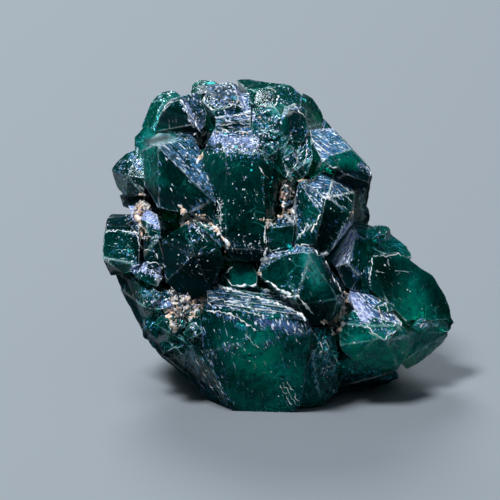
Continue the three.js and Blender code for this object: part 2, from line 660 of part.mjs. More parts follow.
// Stand the specimen on z = 0 with the middle of its box over the origin
const model = new THREE.Group();
model.add(specimen);
model.updateMatrixWorld(true);
const box = new THREE.Box3().setFromObject(model, true);
const middle = box.getCenter(new THREE.Vector3());
specimen.position.set(-middle.x, -middle.y, -box.min.z);

export default model;
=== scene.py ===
# %% [markdown]
# # Dioptase specimen
# A thumbnail cluster of dioptase: stout six-sided crystals, glassy and so deeply green that
# thick parts look black, grown through each other on a little tan matrix. This lesson builds
# its finished surface around the fixed frame. It starts by loading that frame, because every
# size and place below has to agree with it.

# %% Load the fixed frame
from itertools import combinations, product

import bpy
import numpy as np
from mathutils import Matrix, Vector


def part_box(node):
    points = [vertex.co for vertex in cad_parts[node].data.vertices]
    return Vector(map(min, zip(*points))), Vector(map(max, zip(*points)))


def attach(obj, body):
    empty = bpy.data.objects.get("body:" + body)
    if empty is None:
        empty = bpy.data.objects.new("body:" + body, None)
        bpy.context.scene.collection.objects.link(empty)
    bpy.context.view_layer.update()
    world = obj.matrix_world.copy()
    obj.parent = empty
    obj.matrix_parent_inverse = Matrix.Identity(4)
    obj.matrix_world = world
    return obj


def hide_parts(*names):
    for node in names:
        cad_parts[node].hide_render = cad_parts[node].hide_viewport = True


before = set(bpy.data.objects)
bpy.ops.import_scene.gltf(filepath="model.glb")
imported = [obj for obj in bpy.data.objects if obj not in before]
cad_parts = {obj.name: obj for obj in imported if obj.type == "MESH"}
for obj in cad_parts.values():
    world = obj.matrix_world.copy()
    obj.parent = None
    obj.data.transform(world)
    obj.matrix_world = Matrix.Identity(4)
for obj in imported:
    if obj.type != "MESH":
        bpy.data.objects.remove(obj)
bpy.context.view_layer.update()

print("frame nodes:", sorted(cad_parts))

# %% [markdown]
# The specimen is studied from the front, 20 degrees from above, so its crystals are
# described in that view: x runs right, y runs up and z comes toward the viewer, all in
# millimetres. One turn about x then stands everything upright. Working in the view's own
# frame keeps the numbers easy to compare with the real thing.

# %% The driving dimensions
MM = 0.001
VIEW_TILT = 20
REST_HEIGHT = -9.6
SURFACE = "dioptase_crystals"
UPRIGHT = np.array(Matrix.Rotation(np.radians(90 - VIEW_TILT), 3, "X"))
print("the viewer looks along", (-UPRIGHT[:, 2]).round(2))

# %% [markdown]
# Each crystal at the front is given by the root deep in the cluster that it grew from, and
# by the corners of its faces. Drawing the faces directly would need hundreds of polygons that
# have to agree along their edges. Corners are fewer, and the flat faces that wrap them
# follow by themselves.

# %% Crystals at the front: a root, and the corners
FRONT_CRYSTALS = {
    "centre": ([-2.5, 2, -2], [
        [-5.6, 5.9, 5.6], [-3.8, 6.3, 7.2], [-3.8, -0.6, 7.9], [-1.2, 5.7, 7.4], [-0.8, -0.9, 7.7],
        [-5.3, 0.6, 6.2], [-4.6, 8.0, 4.6], [-2.1, 8.3, 4.4], [-0.1, 4.6, 6.0], [-0.1, 2.6, 5.8],
        [-3.2, -1.6, 7.2], [-1.4, -1.6, 7.2],
    ]),
    "centreRough": ([-1.5, 3, -1], [
        [-1.9, 8.6, 4.0], [0.2, 8.9, 3.6], [1.4, 8.2, 3.8], [1.8, 6.0, 4.8], [0.9, 4.0, 6.0],
        [-1.4, 5.8, 7.0], [-2.0, 7.6, 5.4], [0.4, 6.6, 6.0],
    ]),
    "roughArch": ([0, 4, -1], [
        [0.2, 8.9, 4.3], [1.0, 9.3, 4.1], [1.8, 8.7, 4.3], [2.1, 7.6, 4.6], [1.6, 6.8, 5.1],
        [0.3, 7.1, 5.3], [0.0, 8.3, 4.8], [0.4, 9.5, 3.2], [1.2, 9.8, 2.9], [2.0, 9.3, 3.1],
    ]),
    "roughSide": ([0, 3, -1], [
        [1.4, 7.2, 4.6], [2.2, 7.4, 4.4], [2.4, 5.8, 5.4], [2.0, 4.6, 5.8], [1.2, 5.0, 5.8],
    ]),
    "upperLeft": ([-4, 3, -2], [
        [-8.7, 6.6, 6.0], [-4.4, 2.6, 7.4], [-5.9, 7.2, 4.4], [-9.7, 6.4, 4.4], [-9.5, 3.6, 5.0],
        [-8.5, 2.2, 6.0], [-4.6, 1.3, 7.0], [-6.9, 1.9, 6.8], [-9.4, 7.0, 4.2], [-8.6, 7.6, 3.2],
        [-7.4, 7.7, 3.0], [-6.4, 7.6, 3.0], [-7.6, 7.1, 4.9],
    ]),
    "leftBall": ([-4, 3.6, -1], [
        [-12.0, 5.0, 1.5], [-11.6, 5.7, 1.2], [-11.0, 6.2, 1.2], [-10.1, 6.5, 1.8], [-9.6, 5.5, 3.2],
        [-9.5, 4.3, 4.4], [-9.6, 3.1, 4.0], [-10.9, 3.0, 2.8], [-11.5, 3.7, 1.8], [-10.8, 4.6, 3.8],
    ]),
    "leftBehind": ([-6, 2, -2], [
        [-11.4, 3.2, 0], [-11.2, 2.4, 0], [-10.6, 2.2, 0.6], [-11.0, 3.4, 1.0], [-9.2, 3.4, 1.2],
        [-9.2, 2.4, 1.2],
    ]),
    "leftBlock": ([-7, 0, -2], [
        [-12.3, 1.6, 2.8], [-11.9, 1.9, 2.2], [-10.0, 1.9, 4.1], [-12.4, 0.6, 3.3], [-9.9, 0.6, 5.0],
        [-12.6, -1.3, 3.2], [-12.1, -2.1, 2.6], [-12.0, -2.6, 2.2], [-9.9, -1.8, 5.2], [-11.0, -2.5, 4.0],
        [-9.8, 0.0, 5.2],
    ]),
    "leftLavender": ([-6, 0, -2], [
        [-10.6, 2.4, 3.6], [-9.5, 2.4, 4.4], [-8.6, 1.8, 5.4], [-8.4, 0.9, 6.2], [-9.4, 1.3, 5.8],
        [-10.5, 1.9, 4.6], [-9.2, 0.1, 6.0], [-8.3, 0.1, 6.2],
    ]),
    "leftSlim": ([-6, 0, -2], [
        [-9.6, 0.4, 5.4], [-8.6, 0.4, 6.2], [-8.0, -1.6, 6.4], [-8.4, -2.4, 6.0], [-9.6, -1.4, 5.6],
    ]),
    "upperLeftPeak": ([-4, 5, -3], [
        [-7.1, 10.2, 3.0], [-8.3, 9.2, 2.6], [-8.9, 7.7, 2.8], [-5.6, 7.5, 3.8], [-6.2, 8.1, 4.0],
        [-5.8, 10.6, 1.0], [-5.1, 9.1, 2.2], [-5.2, 8.1, 3.0], [-7.9, 10.1, 1.2],
    ]),
    "topLeftBack": ([-4, 4, -5], [
        [-10.0, 8.2, -3], [-9.7, 9.1, -3.4], [-9.2, 10.1, -4], [-8.6, 10.7, -5], [-7.6, 10.9, -5],
        [-6.9, 10.3, -4], [-8.5, 10.0, -2.5], [-7.1, 8.6, -1.5], [-9.3, 7.5, -1.5],
    ]),
    "smallBackLeft": ([-5, 3, -4], [
        [-10.4, 6.7, -1], [-10.4, 7.4, -1.4], [-9.6, 8.2, -1.2], [-8.8, 7.9, -0.4], [-9.0, 7.1, 0],
        [-10.1, 6.0, -0.4],
    ]),
    "topSmall": ([-3, 5, -4], [
        [-6.4, 10.6, -1], [-6.3, 11.2, -1.5], [-5.8, 11.6, -2], [-4.6, 11.5, -2], [-4.0, 10.9, 0],
        [-5.6, 10.4, 1.0],
    ]),
    "topCube": ([-3, 4, -2], [
        [-5.5, 9.9, 4.0], [-4.8, 11.1, 2.6], [-3.3, 11.3, 2.4], [-2.8, 10.0, 3.8], [-3.0, 9.5, 4.4],
        [-4.7, 9.1, 4.9], [-4.5, 8.6, 4.9], [-2.4, 9.0, 4.4], [-2.1, 9.6, 3.2], [-2.6, 10.6, 2.0],
    ]),
    "topDome": ([-1, 4, -5], [
        [-3.0, 11.5, -3.5], [-2.1, 11.7, -4], [-0.3, 11.4, -4], [0.9, 11.2, -4], [1.7, 10.4, -3.5],
        [1.8, 9.0, -1.0], [-1.7, 9.5, 0], [-2.4, 10.9, -1.0],
    ]),
    "topRound": ([-1, 4, -4], [
        [-1.7, 10.5, 0.2], [-1.2, 10.9, -0.5], [-0.3, 10.7, -0.3], [0, 10.1, 0.4], [-0.1, 9.5, 1.6],
        [-1.6, 9.5, 1.8], [-1.9, 8.7, 2.4], [0.2, 8.8, 2.2],
    ]),
    "topTealStep": ([-1, 4, -3], [
        [-2.2, 10.0, 1.6], [-1.6, 9.2, 3.0], [-0.4, 9.3, 2.6], [-0.3, 8.6, 3.2], [-2.0, 8.4, 3.8],
    ]),
    "topRightBack": ([0, 4, -5], [
        [1.7, 10.6, -3], [2.4, 10.2, -4], [3.1, 9.3, -4], [3.4, 8.4, -3.5], [3.1, 7.9, -2.5], [2.1, 7.9, 0],
        [1.5, 9.6, -1],
    ]),
    "rightTop": ([1, 3, -2], [
        [2.1, 7.9, 4.2], [3.8, 8.0, 3.0], [5.1, 6.4, 4.4], [3.6, 6.0, 5.8], [2.3, 7.0, 5.2],
        [6.5, 5.1, 3.8], [6.3, 4.0, 4.2], [4.7, 4.6, 5.6], [3.0, 5.5, 6.0],
    ]),
    "rightRim": ([1, 2, -3], [
        [4.6, 7.3, 0.6], [5.7, 6.0, 0.8], [6.6, 4.9, 1.2], [6.4, 2.9, 1.8], [5.9, 1.3, 2.6],
        [5.2, 1.3, 3.6], [5.2, 3.6, 3.6], [3.4, 8.2, 0.4],
    ]),
    "innerRightSmall": ([-1, 0, -2], [
        [-0.8, 0.9, 7.4], [0.3, 1.9, 6.6], [1.0, 1.7, 6.8], [1.1, 1.1, 7.6], [0.8, -0.5, 7.8],
        [-1.0, -0.9, 7.6],
    ]),
    "innerRight": ([1, 1, -2], [
        [1.4, 4.3, 6.6], [3.1, 3.1, 6.6], [2.9, 1.8, 7.6], [2.4, -0.4, 7.4], [0.9, -0.6, 7.4],
        [0.8, 1.9, 6.9], [1.1, 3.0, 6.9], [1.9, 4.2, 6.2],
    ]),
    "rightStriated": ([1, 1, -2], [
        [1.7, 4.1, 5.2], [2.9, 4.9, 4.4], [4.0, 4.9, 4.2], [5.4, 3.4, 4.6], [5.2, 2.0, 5.4],
        [3.3, 3.0, 6.8], [4.9, 1.1, 5.4], [3.6, -0.9, 6.4], [3.0, -1.3, 6.6], [2.4, -0.5, 7.0],
        [5.3, 1.4, 4.8],
    ]),
    "rightCentre": ([0, -2, -2], [
        [-0.8, -0.7, 7.2], [0.8, -0.6, 7.4], [1.6, -0.2, 7.2], [2.3, -0.4, 7.0], [3.6, -2.1, 6.6],
        [4.4, -2.9, 6.4], [4.8, -3.6, 6.2], [4.5, -4.7, 6.6], [3.6, -5.9, 6.8], [2.2, -6.1, 7.2],
        [1.2, -4.5, 8.6], [1.9, -0.9, 8.2], [3.2, -2.6, 8.0], [4.1, -4.3, 7.6], [-1.6, -2.4, 7.8],
        [-1.2, -1.4, 7.6], [0.2, -1.0, 8.2],
    ]),
    "leftCentre": ([-4, -1, -2], [
        [-6.4, 1.4, 7.2], [-8.3, 0.0, 6.6], [-4.1, -0.6, 7.6], [-3.9, -1.6, 7.2], [-8.1, -2.9, 6.6],
        [-6.4, -4.5, 6.0], [-4.8, -3.6, 6.6], [-6.0, -1.2, 8.2],
    ]),
    "centreLeftStrip": ([-4, 0, -2], [
        [-6.2, 1.5, 6.4], [-5.4, 1.7, 6.2], [-4.0, 0.2, 7.0], [-3.4, -0.6, 7.2], [-4.2, -0.5, 7.3],
        [-5.2, 0.8, 7.1],
    ]),
    "lowerCentre": ([-1, -4, -2], [
        [-5.4, -4.6, 7.9], [1.9, -5.6, 8.6], [2.2, -7.5, 8.0], [1.5, -11.2, 5.6], [0.8, -12.0, 5.1],
        [-3.4, -12.1, 5.0], [-5.5, -7.5, 7.2], [-4.8, -3.9, 6.6], [1.2, -4.6, 7.0], [2.4, -6.4, 8.0],
    ]),
    "ledgeTeal": ([-2, -3, 0], [
        [-4.4, -3.4, 6.2], [-3.5, -1.7, 6.2], [-2.1, -1.4, 6.6], [-1.5, -2.4, 7.0], [-1.6, -3.3, 7.0],
    ]),
    "leftLower": ([-5, -4, -3], [
        [-11.7, -2.3, 2.2], [-10.9, -3.9, 2.0], [-10.0, -6.0, 2.0], [-9.0, -7.8, 2.2], [-8.1, -8.6, 2.4],
        [-6.7, -9.5, 3.6], [-6.4, -7.4, 6.4], [-8.4, -6.0, 5.4], [-9.8, -3.2, 4.4], [-10.2, -2.0, 3.6],
    ]),
    "leftRoughA": ([-6, -2, -2], [
        [-10.6, -2.2, 4.4], [-9.6, -1.8, 5.2], [-8.6, -1.8, 5.6], [-8.2, -2.6, 5.9], [-8.6, -3.3, 6.0],
        [-10.0, -2.8, 5.2], [-10.6, -1.5, 3.4], [-9.4, -1.2, 4.0],
    ]),
    "leftRoughB": ([-6, -3, -2], [
        [-9.8, -3.4, 4.6], [-9.0, -3.0, 5.2], [-7.8, -3.6, 5.7], [-7.4, -4.6, 6.0], [-8.6, -5.0, 6.1],
        [-9.6, -4.6, 5.3],
    ]),
    "leftRoughC": ([-5, -4, -2], [
        [-8.6, -5.1, 5.2], [-7.6, -4.6, 5.5], [-6.6, -4.9, 6.0], [-6.6, -6.2, 6.3], [-7.8, -6.6, 6.0],
        [-8.9, -6.2, 5.4],
    ]),
    "leftRoughD": ([-4, -4, -2], [
        [-6.6, -5.0, 6.2], [-5.6, -4.9, 6.8], [-5.4, -6.4, 7.2], [-6.2, -6.9, 6.8],
    ]),
    "footLeft": ([-3, -5, -3], [
        [-8.0, -8.5, 2.2], [-6.5, -9.6, 2.2], [-5.6, -10.6, 2.4], [-4.9, -11.5, 3.2], [-3.5, -12.1, 4.6],
        [-4.6, -9.2, 6.6], [-6.4, -7.4, 6.4], [-5.2, -7.0, 7.0],
    ]),
    "betweenLow": ([1, -5, -2], [
        [2.0, -6.0, 7.0], [3.8, -6.2, 6.2], [4.3, -9.0, 4.8], [4.1, -10.7, 4.0], [3.0, -11.8, 4.6],
        [1.2, -12.0, 4.9], [2.2, -8.0, 6.8],
    ]),
    "lowerRight": ([3, -4, -2], [
        [4.2, -5.9, 6.4], [5.2, -4.9, 6.0], [6.4, -6.0, 6.6], [6.9, -7.0, 6.8], [7.7, -7.0, 6.4],
        [8.7, -6.0, 5.4], [9.3, -6.8, 4.8], [9.0, -8.2, 4.6], [8.3, -9.3, 4.2], [5.1, -8.6, 5.8],
        [4.2, -7.5, 6.4],
    ]),
    "lowerRightTop": ([3, -3, -2], [
        [4.9, -3.4, 5.0], [5.3, -3.3, 4.8], [7.2, -4.2, 4.4], [8.3, -5.3, 4.6], [8.7, -5.9, 5.2],
        [7.6, -6.9, 6.3], [6.7, -6.9, 6.5], [6.4, -5.9, 6.3], [5.1, -4.6, 5.8],
    ]),
    "lowerRightFoot": ([3, -4, -3], [
        [4.1, -8.6, 4.6], [8.4, -9.2, 3.6], [8.6, -9.9, 2.0], [7.0, -10.6, 0.9], [4.8, -10.8, 1.6],
        [4.0, -10.7, 3.0], [5.2, -8.4, 5.2],
    ]),
    "rightTealTop": ([2, -1, -3], [
        [5.1, 1.1, 2.6], [5.9, 1.3, 1.4], [7.1, 0.8, 0.6], [7.9, 0.6, 0], [9.1, -0.4, 0], [9.5, -1.2, 0.6],
        [9.2, -1.9, 1.0], [8.4, -1.4, 2.2], [6.5, -1.7, 3.6], [6.3, -0.4, 3.4],
    ]),
    "rightLavender": ([2, -1, -2], [
        [3.7, -1.6, 5.2], [5.1, 0.9, 3.8], [5.3, 0.4, 4.4], [4.9, -1.6, 5.4], [4.0, -2.0, 5.8],
        [6.2, 0.0, 4.0], [6.5, -3.9, 4.8], [4.7, -3.4, 5.4],
    ]),
    "rightMain": ([3, -2, -4], [
        [6.5, -1.1, 4.4], [8.4, -0.8, 3.0], [9.5, -1.6, 2.0], [10.8, -2.5, 1.0], [11.9, -4.3, 0.6],
        [12.2, -5.6, 0.8], [10.4, -5.7, 2.6], [8.8, -5.7, 4.0], [7.6, -4.4, 4.8], [6.5, -3.6, 5.0],
        [6.4, -2.6, 5.0],
    ]),
    "rightEnd": ([5, -4, -4], [
        [11.6, -4.4, 0.2], [12.2, -5.0, -0.4], [12.6, -5.9, -0.4], [12.2, -6.6, 0.4], [10.6, -6.6, 2.0],
        [10.2, -5.7, 2.4],
    ]),
    "rightBar": ([4, -4, -4], [
        [9.2, -6.3, 3.2], [12.2, -6.6, 0.2], [11.9, -7.4, -0.2], [10.9, -8.2, 0.2], [9.2, -9.3, 1.4],
        [8.7, -8.9, 3.0],
    ]),
}
print(len(FRONT_CRYSTALS), "front crystals")

# %% [markdown]
# Where the specimen is hidden from the front, crystals follow the habit of the mineral: a
# six-sided prism with a three-faced cap at each end. A direction is given as degrees right
# and degrees up of the viewer, so a crystal needs only a middle, the directions of its axis
# and of one side, its radius, and the reach of its cap.

# %% Crystals at the back and the base
HABIT_CRYSTALS = {
    "backMiddle": ([-1.8, 2.2, -4.5], [176, 8], [90, 12], 3.1, 5.2),
    "backTop": ([-3.2, 7.0, -4.6], [-165, 52], [-90, 0], 2.5, 4.4),
    "backUpperLeft": ([-7.0, 5.0, -4.4], [-145, 28], [-60, 10], 2.4, 4.2),
    "backLeft": ([-8.0, 0.6, -3.6], [-128, -4], [-40, 20], 2.6, 4.4),
    "backLowerLeft": ([-5.8, -4.0, -3.6], [-145, -24], [-50, 30], 2.5, 4.6),
    "backLow": ([-1.6, -5.4, -4.0], [178, -30], [90, 0], 2.8, 5.0),
    "backRight": ([2.8, 1.6, -3.4], [142, 8], [60, 30], 2.4, 4.6),
    "backLowerRight": ([4.2, -4.2, -3.4], [150, -18], [60, 10], 2.6, 4.8),
    "backRightLobe": ([7.4, -3.8, -1.0], [128, -6], [30, 20], 1.9, 3.4),
    "backTopRight": ([0.4, 6.6, -4.6], [156, 40], [60, 0], 2.1, 3.8),
    "backSmallA": ([-5.2, -0.8, -6.6], [-160, -6], [90, 30], 1.5, 3.0),
    "backSmallB": ([0.9, 5.0, -7.0], [160, 24], [90, 0], 1.4, 2.8),
    "backSmallC": ([-5.0, 4.4, -7.2], [-158, 18], [90, 40], 1.3, 2.6),
    "baseLeft": ([-4.6, -6.4, -0.4], [-110, -62], [0, 0], 2.1, 4.0),
    "baseRight": ([3.4, -7.0, 0.0], [110, -66], [0, 0], 2.4, 4.0),
    "baseMiddle": ([-1.0, -7.6, 0.6], [180, -80], [90, 0], 2.8, 5.0),
}
print(len(HABIT_CRYSTALS), "habit crystals")

# %% [markdown]
# Where the real surface is broken and rough, small blocks with many faces stick out of it. A
# chip has a middle, three radii and a turn in degrees. The heart is one such block, large
# enough to join everything. Growth steps are flights of thin slabs: the two ends of the
# lowest edge, the climb from one edge to the next, and a count.

# %% Chips, the heart, growth steps and matrix
CHIPS = [
    ([-0.9, 7.2, 5.1], [0.8, 0.55, 0.7], 10), ([-0.2, 8.1, 4.1], [0.6, 0.7, 0.7], 80),
    ([0.6, 5.7, 5.4], [0.7, 0.9, 0.8], 200), ([-0.6, 6.2, 6.2], [0.55, 0.7, 0.6], 130),
    ([1.2, 5.0, 5.4], [0.6, 0.75, 0.7], 40), ([-1.4, 8.8, 3.5], [0.75, 0.5, 0.6], 300),
    ([-8.9, -4.2, 5.4], [0.6, 0.85, 0.7], 20), ([-7.7, -5.9, 5.7], [0.95, 0.65, 0.7], 100),
    ([-5.9, -6.5, 6.6], [0.75, 0.6, 0.7], 250), ([-9.0, -6.2, 4.3], [0.7, 0.9, 0.8], 60),
    ([-7.2, -7.6, 5.1], [1.0, 0.7, 0.8], 170), ([-5.1, 0.8, 6.5], [0.6, 0.4, 0.5], 0),
    ([3.0, -7.4, 5.9], [0.6, 0.8, 0.7], 220), ([3.3, -8.8, 5.0], [0.7, 0.55, 0.6], 120),
    ([7.1, -4.9, 4.7], [0.85, 0.55, 0.7], 330), ([9.9, -6.1, 2.8], [0.75, 0.55, 0.6], 75),
    ([6.9, 0.4, 2.6], [0.9, 0.6, 0.7], 140), ([-10.3, 1.2, 4.0], [0.5, 0.6, 0.5], 210),
    ([0.5, 2.35, 5.2], [0.75, 0.7, 0.8], 50),
]
HEART_MIDDLE = np.array([-1.6, -0.6, -1.2])
HEART_RADII = [7.4, 7.0, 5.4]
STEPS = {
    "lowerLedge": ([-5.1, -4.3, 7.7], [1.7, -5.25, 8.25], [0, 0.36, -0.42], 4),
    "cubeLedge": ([-4.5, 8.1, 5.35], [-2.0, 8.55, 4.7], [0, 0.42, -0.3], 2),
}
MATRIX_LUMPS = {
    "matrix_upper_seam": ([-5.0, 1.4, 5.2], [1.9, 1.4, 1.4]),
    "matrix_middle_seam": ([0.5, 3.4, 4.7], [0.5, 1.4, 1.25]),
    "matrix_left_seam": ([-9.7, 1.3, 3.9], [0.55, 1.5, 1.2]),
    "matrix_lower_left": ([-6.6, -4.6, 5.0], [1.7, 1.3, 1.35]),
    "matrix_right_seam": ([4.1, -5.2, 5.0], [0.6, 1.4, 1.05]),
    "matrix_back": ([-0.6, -1.6, -5.4], [3.0, 2.8, 2.2]),
}
print(len(CHIPS), "chips and", len(MATRIX_LUMPS), "lumps of matrix")

# %% [markdown]
# A flat-faced crystal is the space inside a set of planes, each with a direction and a
# distance from the origin. Given corners, the planes are those through three of them that
# leave no corner outside. Planes that differ by only a few degrees are one worn facet.

# %% From corners to facets
ROOT_SHARE = 0.55
FACET_JOIN = 14
ON_PLANE = 1e-7


def outer_planes(points):
    """Every plane through three of the points that has no point outside it: the normal is the
    cross product of two sides, and half its length is the triangle's area."""
    i, j, k = np.array(list(combinations(range(len(points)), 3))).T
    normals = np.cross(points[j] - points[i], points[k] - points[i])
    lengths = np.linalg.norm(normals, axis=1)
    real = lengths > 2 * ON_PLANE
    normals = normals[real] / lengths[real, None]
    distances = (normals * points[i][real]).sum(1)
    side = np.where(normals @ points.mean(0) > distances, -1.0, 1.0)
    normals, distances = normals * side[:, None], distances * side
    clear = (normals @ points.T < distances[:, None] + ON_PLANE).all(1)
    return normals[clear], distances[clear], lengths[real][clear] / 2


def wrapped_facets(points):
    """The outer planes, largest first. Those within a few degrees of the largest one left
    become one facet: the mean of their normals and distances, each counted by its area."""
    normals, distances, areas = outer_planes(points)
    nearest = np.cos(np.radians(FACET_JOIN))
    order = np.argsort(-areas, kind="stable")
    normals, distances, areas = normals[order], distances[order], areas[order]
    facets = []
    while len(areas):
        group = normals @ normals[0] > nearest
        mean = (normals[group] * areas[group, None]).sum(0)
        mean /= np.linalg.norm(mean)
        level = areas[group] * distances[group] * (normals[group] @ mean)
        facets.append(np.append(mean, level.sum() / areas[group].sum()))
        normals, distances, areas = normals[~group], distances[~group], areas[~group]
    return np.array(facets)


def corner_facets(root, corners):
    """A crystal given by its corners: they narrow toward its root, which is in the cluster."""
    front = np.array(corners, float)
    back = np.array(root) + (front - root) * ROOT_SHARE
    return wrapped_facets(np.vstack([front, back]))


crystals = {name: corner_facets(*given) for name, given in FRONT_CRYSTALS.items()}
print("facets at the front:", sum(len(facets) for facets in crystals.values()))

# %% [markdown]
# The habit of dioptase needs no corners: the directions of its six sides and six cap faces
# are known, and each face's distance follows from the crystal's radius and its cap.

# %% Facets of the mineral's habit
CAP_ANGLE = 51
CAP_START = 30
FOOT_START = 90
HABIT_FOOT = 5


def direction(pan, tilt):
    """A unit vector given as degrees right and degrees up of the viewer."""
    right, up = np.radians([pan, tilt])
    return np.array([np.cos(up) * np.sin(right), np.sin(up), np.cos(up) * np.cos(right)])


def habit_facets(mid, axis, side, radius, cap):
    """Six prism sides at the radius, and three cap faces leaning CAP_ANGLE at each end."""
    along, lean = direction(*axis), np.radians(CAP_ANGLE)
    first = direction(*side)
    first = first - along * (first @ along)
    first /= np.linalg.norm(first)
    second = np.cross(along, first)

    def around(degrees):
        """Directions at right angles to the axis."""
        turn = np.radians(np.asarray(degrees, float))[:, None]
        return first * np.cos(turn) + second * np.sin(turn)

    thirds = np.arange(3) * 120
    sides = around(np.arange(6) * 60)
    caps = around(CAP_START + thirds) * np.sin(lean) + along * np.cos(lean)
    feet = around(FOOT_START + thirds) * np.sin(lean) - along * np.cos(lean)
    normals = np.vstack([sides, caps, feet])
    reach = np.repeat([radius, cap * np.cos(lean), HABIT_FOOT * np.cos(lean)], [6, 3, 3])
    return np.column_stack([normals, reach + normals @ np.array(mid)])


crystals |= {name: habit_facets(*given) for name, given in HABIT_CRYSTALS.items()}
print("crystals so far:", len(crystals))

# %% [markdown]
# Chips and the heart are rougher: their faces touch an ellipsoid at points that a
# golden-angle spiral spreads evenly. A growth step is a slab whose tread climbs away from
# the viewer, wrapped in planes like the crystals at the front.

# %% Facets of chips, steps and the heart
CHIP_FACES = 13
HEART_FACES = 30
LUMP_WOBBLE = 0.14
LUMP_RIPPLE = 5
STEP_RISE = 0.16
STEP_DEPTH = 2.4


def lump_facets(mid, radii, turned, faces):
    """Flat faces that touch an ellipsoid at points spread along a golden-angle spiral."""
    k = np.arange(faces)
    height = 1 - (2 * k + 1) / faces
    ring, turn = np.sqrt(1 - height**2), np.pi * (3 - np.sqrt(5)) * k + np.radians(turned)
    unit = np.column_stack([ring * np.cos(turn), height, ring * np.sin(turn)])
    normals = unit / radii
    normals /= np.linalg.norm(normals, axis=1)[:, None]
    wobble = 1 + LUMP_WOBBLE * np.sin(LUMP_RIPPLE * k)
    touch = (unit * radii * normals).sum(1)
    return np.column_stack([normals, wobble * touch + normals @ np.array(mid)])


def step_facets(left, right, climb, count):
    """Thin slabs behind one another, each tread sloping up and back from the edge below."""
    climb = np.array(climb)
    tread = climb - [0, STEP_RISE, 0]
    tread = tread / np.linalg.norm(tread) * STEP_DEPTH
    below = np.array([0, -STEP_DEPTH / 2, 0])
    lowest = np.array([left, right])
    for edges in (lowest + climb * k for k in range(count)):
        yield wrapped_facets(np.vstack([edges, edges + tread, edges + below / 2, edges + tread + below]))


crystals |= {f"chip{k}": lump_facets(*chip, CHIP_FACES) for k, chip in enumerate(CHIPS)}
for flight, given in STEPS.items():
    crystals |= {f"{flight}{number}": slab for number, slab in enumerate(step_facets(*given))}
crystals["heart"] = lump_facets(HEART_MIDDLE, HEART_RADII, 0, HEART_FACES)
print(len(crystals), "crystals with", sum(len(facets) for facets in crystals.values()), "facets")

# %% [markdown]
# Three planes meet in a point, and the points that no other plane cuts off are the crystal's
# corners. In order around a facet they are its outline.

# %% From facets to outlines
SAME_POINT = 1e-3


def corners_of(facets):
    """Solves every three facets for the point they share, and keeps the points inside all of
    them. Returns the points, and which facets meet at each."""
    triples = np.array(list(combinations(range(len(facets)), 3)))
    systems = facets[triples]
    solvable = np.abs(np.linalg.det(systems[:, :, :3])) > ON_PLANE
    triples, systems = triples[solvable], systems[solvable]
    points = np.linalg.solve(systems[:, :, :3], systems[:, :, 3:])[:, :, 0]
    inside = (points @ facets[:, :3].T < facets[:, 3] + ON_PLANE).all(1)
    points, triples = points[inside], triples[inside]
    apart = np.linalg.norm(points[:, None] - points[None], axis=2)
    first = np.argmax(apart < SAME_POINT, axis=1)
    kept = np.unique(first)
    meets = np.zeros((len(points), len(facets)), bool)
    np.logical_or.at(meets, (first[:, None], triples), True)
    return points[kept], meets[kept]


def outline(corners, normal):
    """The corners in order around their middle, by the angle in the facet's plane."""
    offsets = corners - corners.mean(0)
    across = offsets[0] / np.linalg.norm(offsets[0])
    over = np.cross(normal, across)
    return corners[np.argsort(np.arctan2(offsets @ over, offsets @ across))]


def flat_shape(facets):
    """A crystal's facets, the outline of each, and the middle of its corners."""
    points, meets = corners_of(facets)
    rings = [outline(points[m], facet[:3]) for facet, m in zip(facets, meets.T) if m.sum() > 2]
    return {"facets": facets, "rings": rings, "middle": points.mean(0)}


shapes = {name: flat_shape(facets) for name, facets in crystals.items()}
print("facets of the centre crystal:", len(shapes["centre"]["rings"]))

# %% [markdown]
# Real crystal faces are never quite flat, and their edges are worn round. So each facet
# becomes a surface of two parameters: one runs around its outline, the other runs in from
# the outline to the middle. The rings crowd toward the edge, where the wear is. Neighbours
# place the same points on a shared edge, so the grids close up into one skin.

# %% A facet as a grid
GRID_STEP = 0.4
HIDDEN_STEP = 0.55
CHIP_STEP = 0.2
EDGE_RINGS = np.array([0.0, 0.05, 0.14])


def banded(rows, columns):
    """Numbers the points of rows that each close on themselves. Returns those numbers, the
    number that follows each in its row, and two triangles for every cell between two rows."""
    index = np.arange(rows * columns).reshape(rows, columns)
    after = np.roll(index, -1, axis=1)
    a, b, c, d = (part.ravel() for part in (index[:-1], after[:-1], after[1:], index[1:]))
    return index, after, np.vstack([np.column_stack([a, b, c]), np.column_stack([a, c, d])])


def facet_grid(ring, step):
    """Point(s, t) = middle + (1 - s) * (outline(t) - middle), with s growing evenly from the
    last edge ring to the middle. Returns the points and the triangles between them."""
    nexts = np.roll(ring, -1, axis=0)
    counts = np.maximum(1, np.ceil(np.linalg.norm(nexts - ring, axis=1) / step)).astype(int)
    shares = [np.arange(n)[:, None] / n for n in counts]
    border = np.vstack([a + (b - a) * t for a, b, t in zip(ring, nexts, shares)])
    middle = ring.mean(0)
    reach = np.linalg.norm(border - middle, axis=1).mean()
    inner = np.arange(EDGE_RINGS[-1] + step, reach - step / 2, step)
    depths = np.append(EDGE_RINGS[EDGE_RINGS < reach / 2], inner) / reach
    grid = middle + (1 - depths)[:, None, None] * (border - middle)
    index, after, bands = banded(len(depths), len(border))
    fan = np.column_stack([index[-1], after[-1], np.full(len(border), index.size)])
    return np.vstack([grid.reshape(-1, 3), middle]), np.vstack([bands, fan])


sample_points, sample_triangles = facet_grid(shapes["centre"]["rings"][0], GRID_STEP)
print("one facet:", len(sample_points), "points,", len(sample_triangles), "triangles")

# %% [markdown]
# Wear comes from one formula. The hard crystal reaches, in each direction, to its nearest
# plane. A power mean of all the planes reaches almost as far over a facet but less at an
# edge, where two planes are equally near. A smooth wandering value makes some edges sharper
# than others, and slow waves keep the faces from being perfect mirrors. Some crystals are
# rough all over, so their ripples are several times as deep.

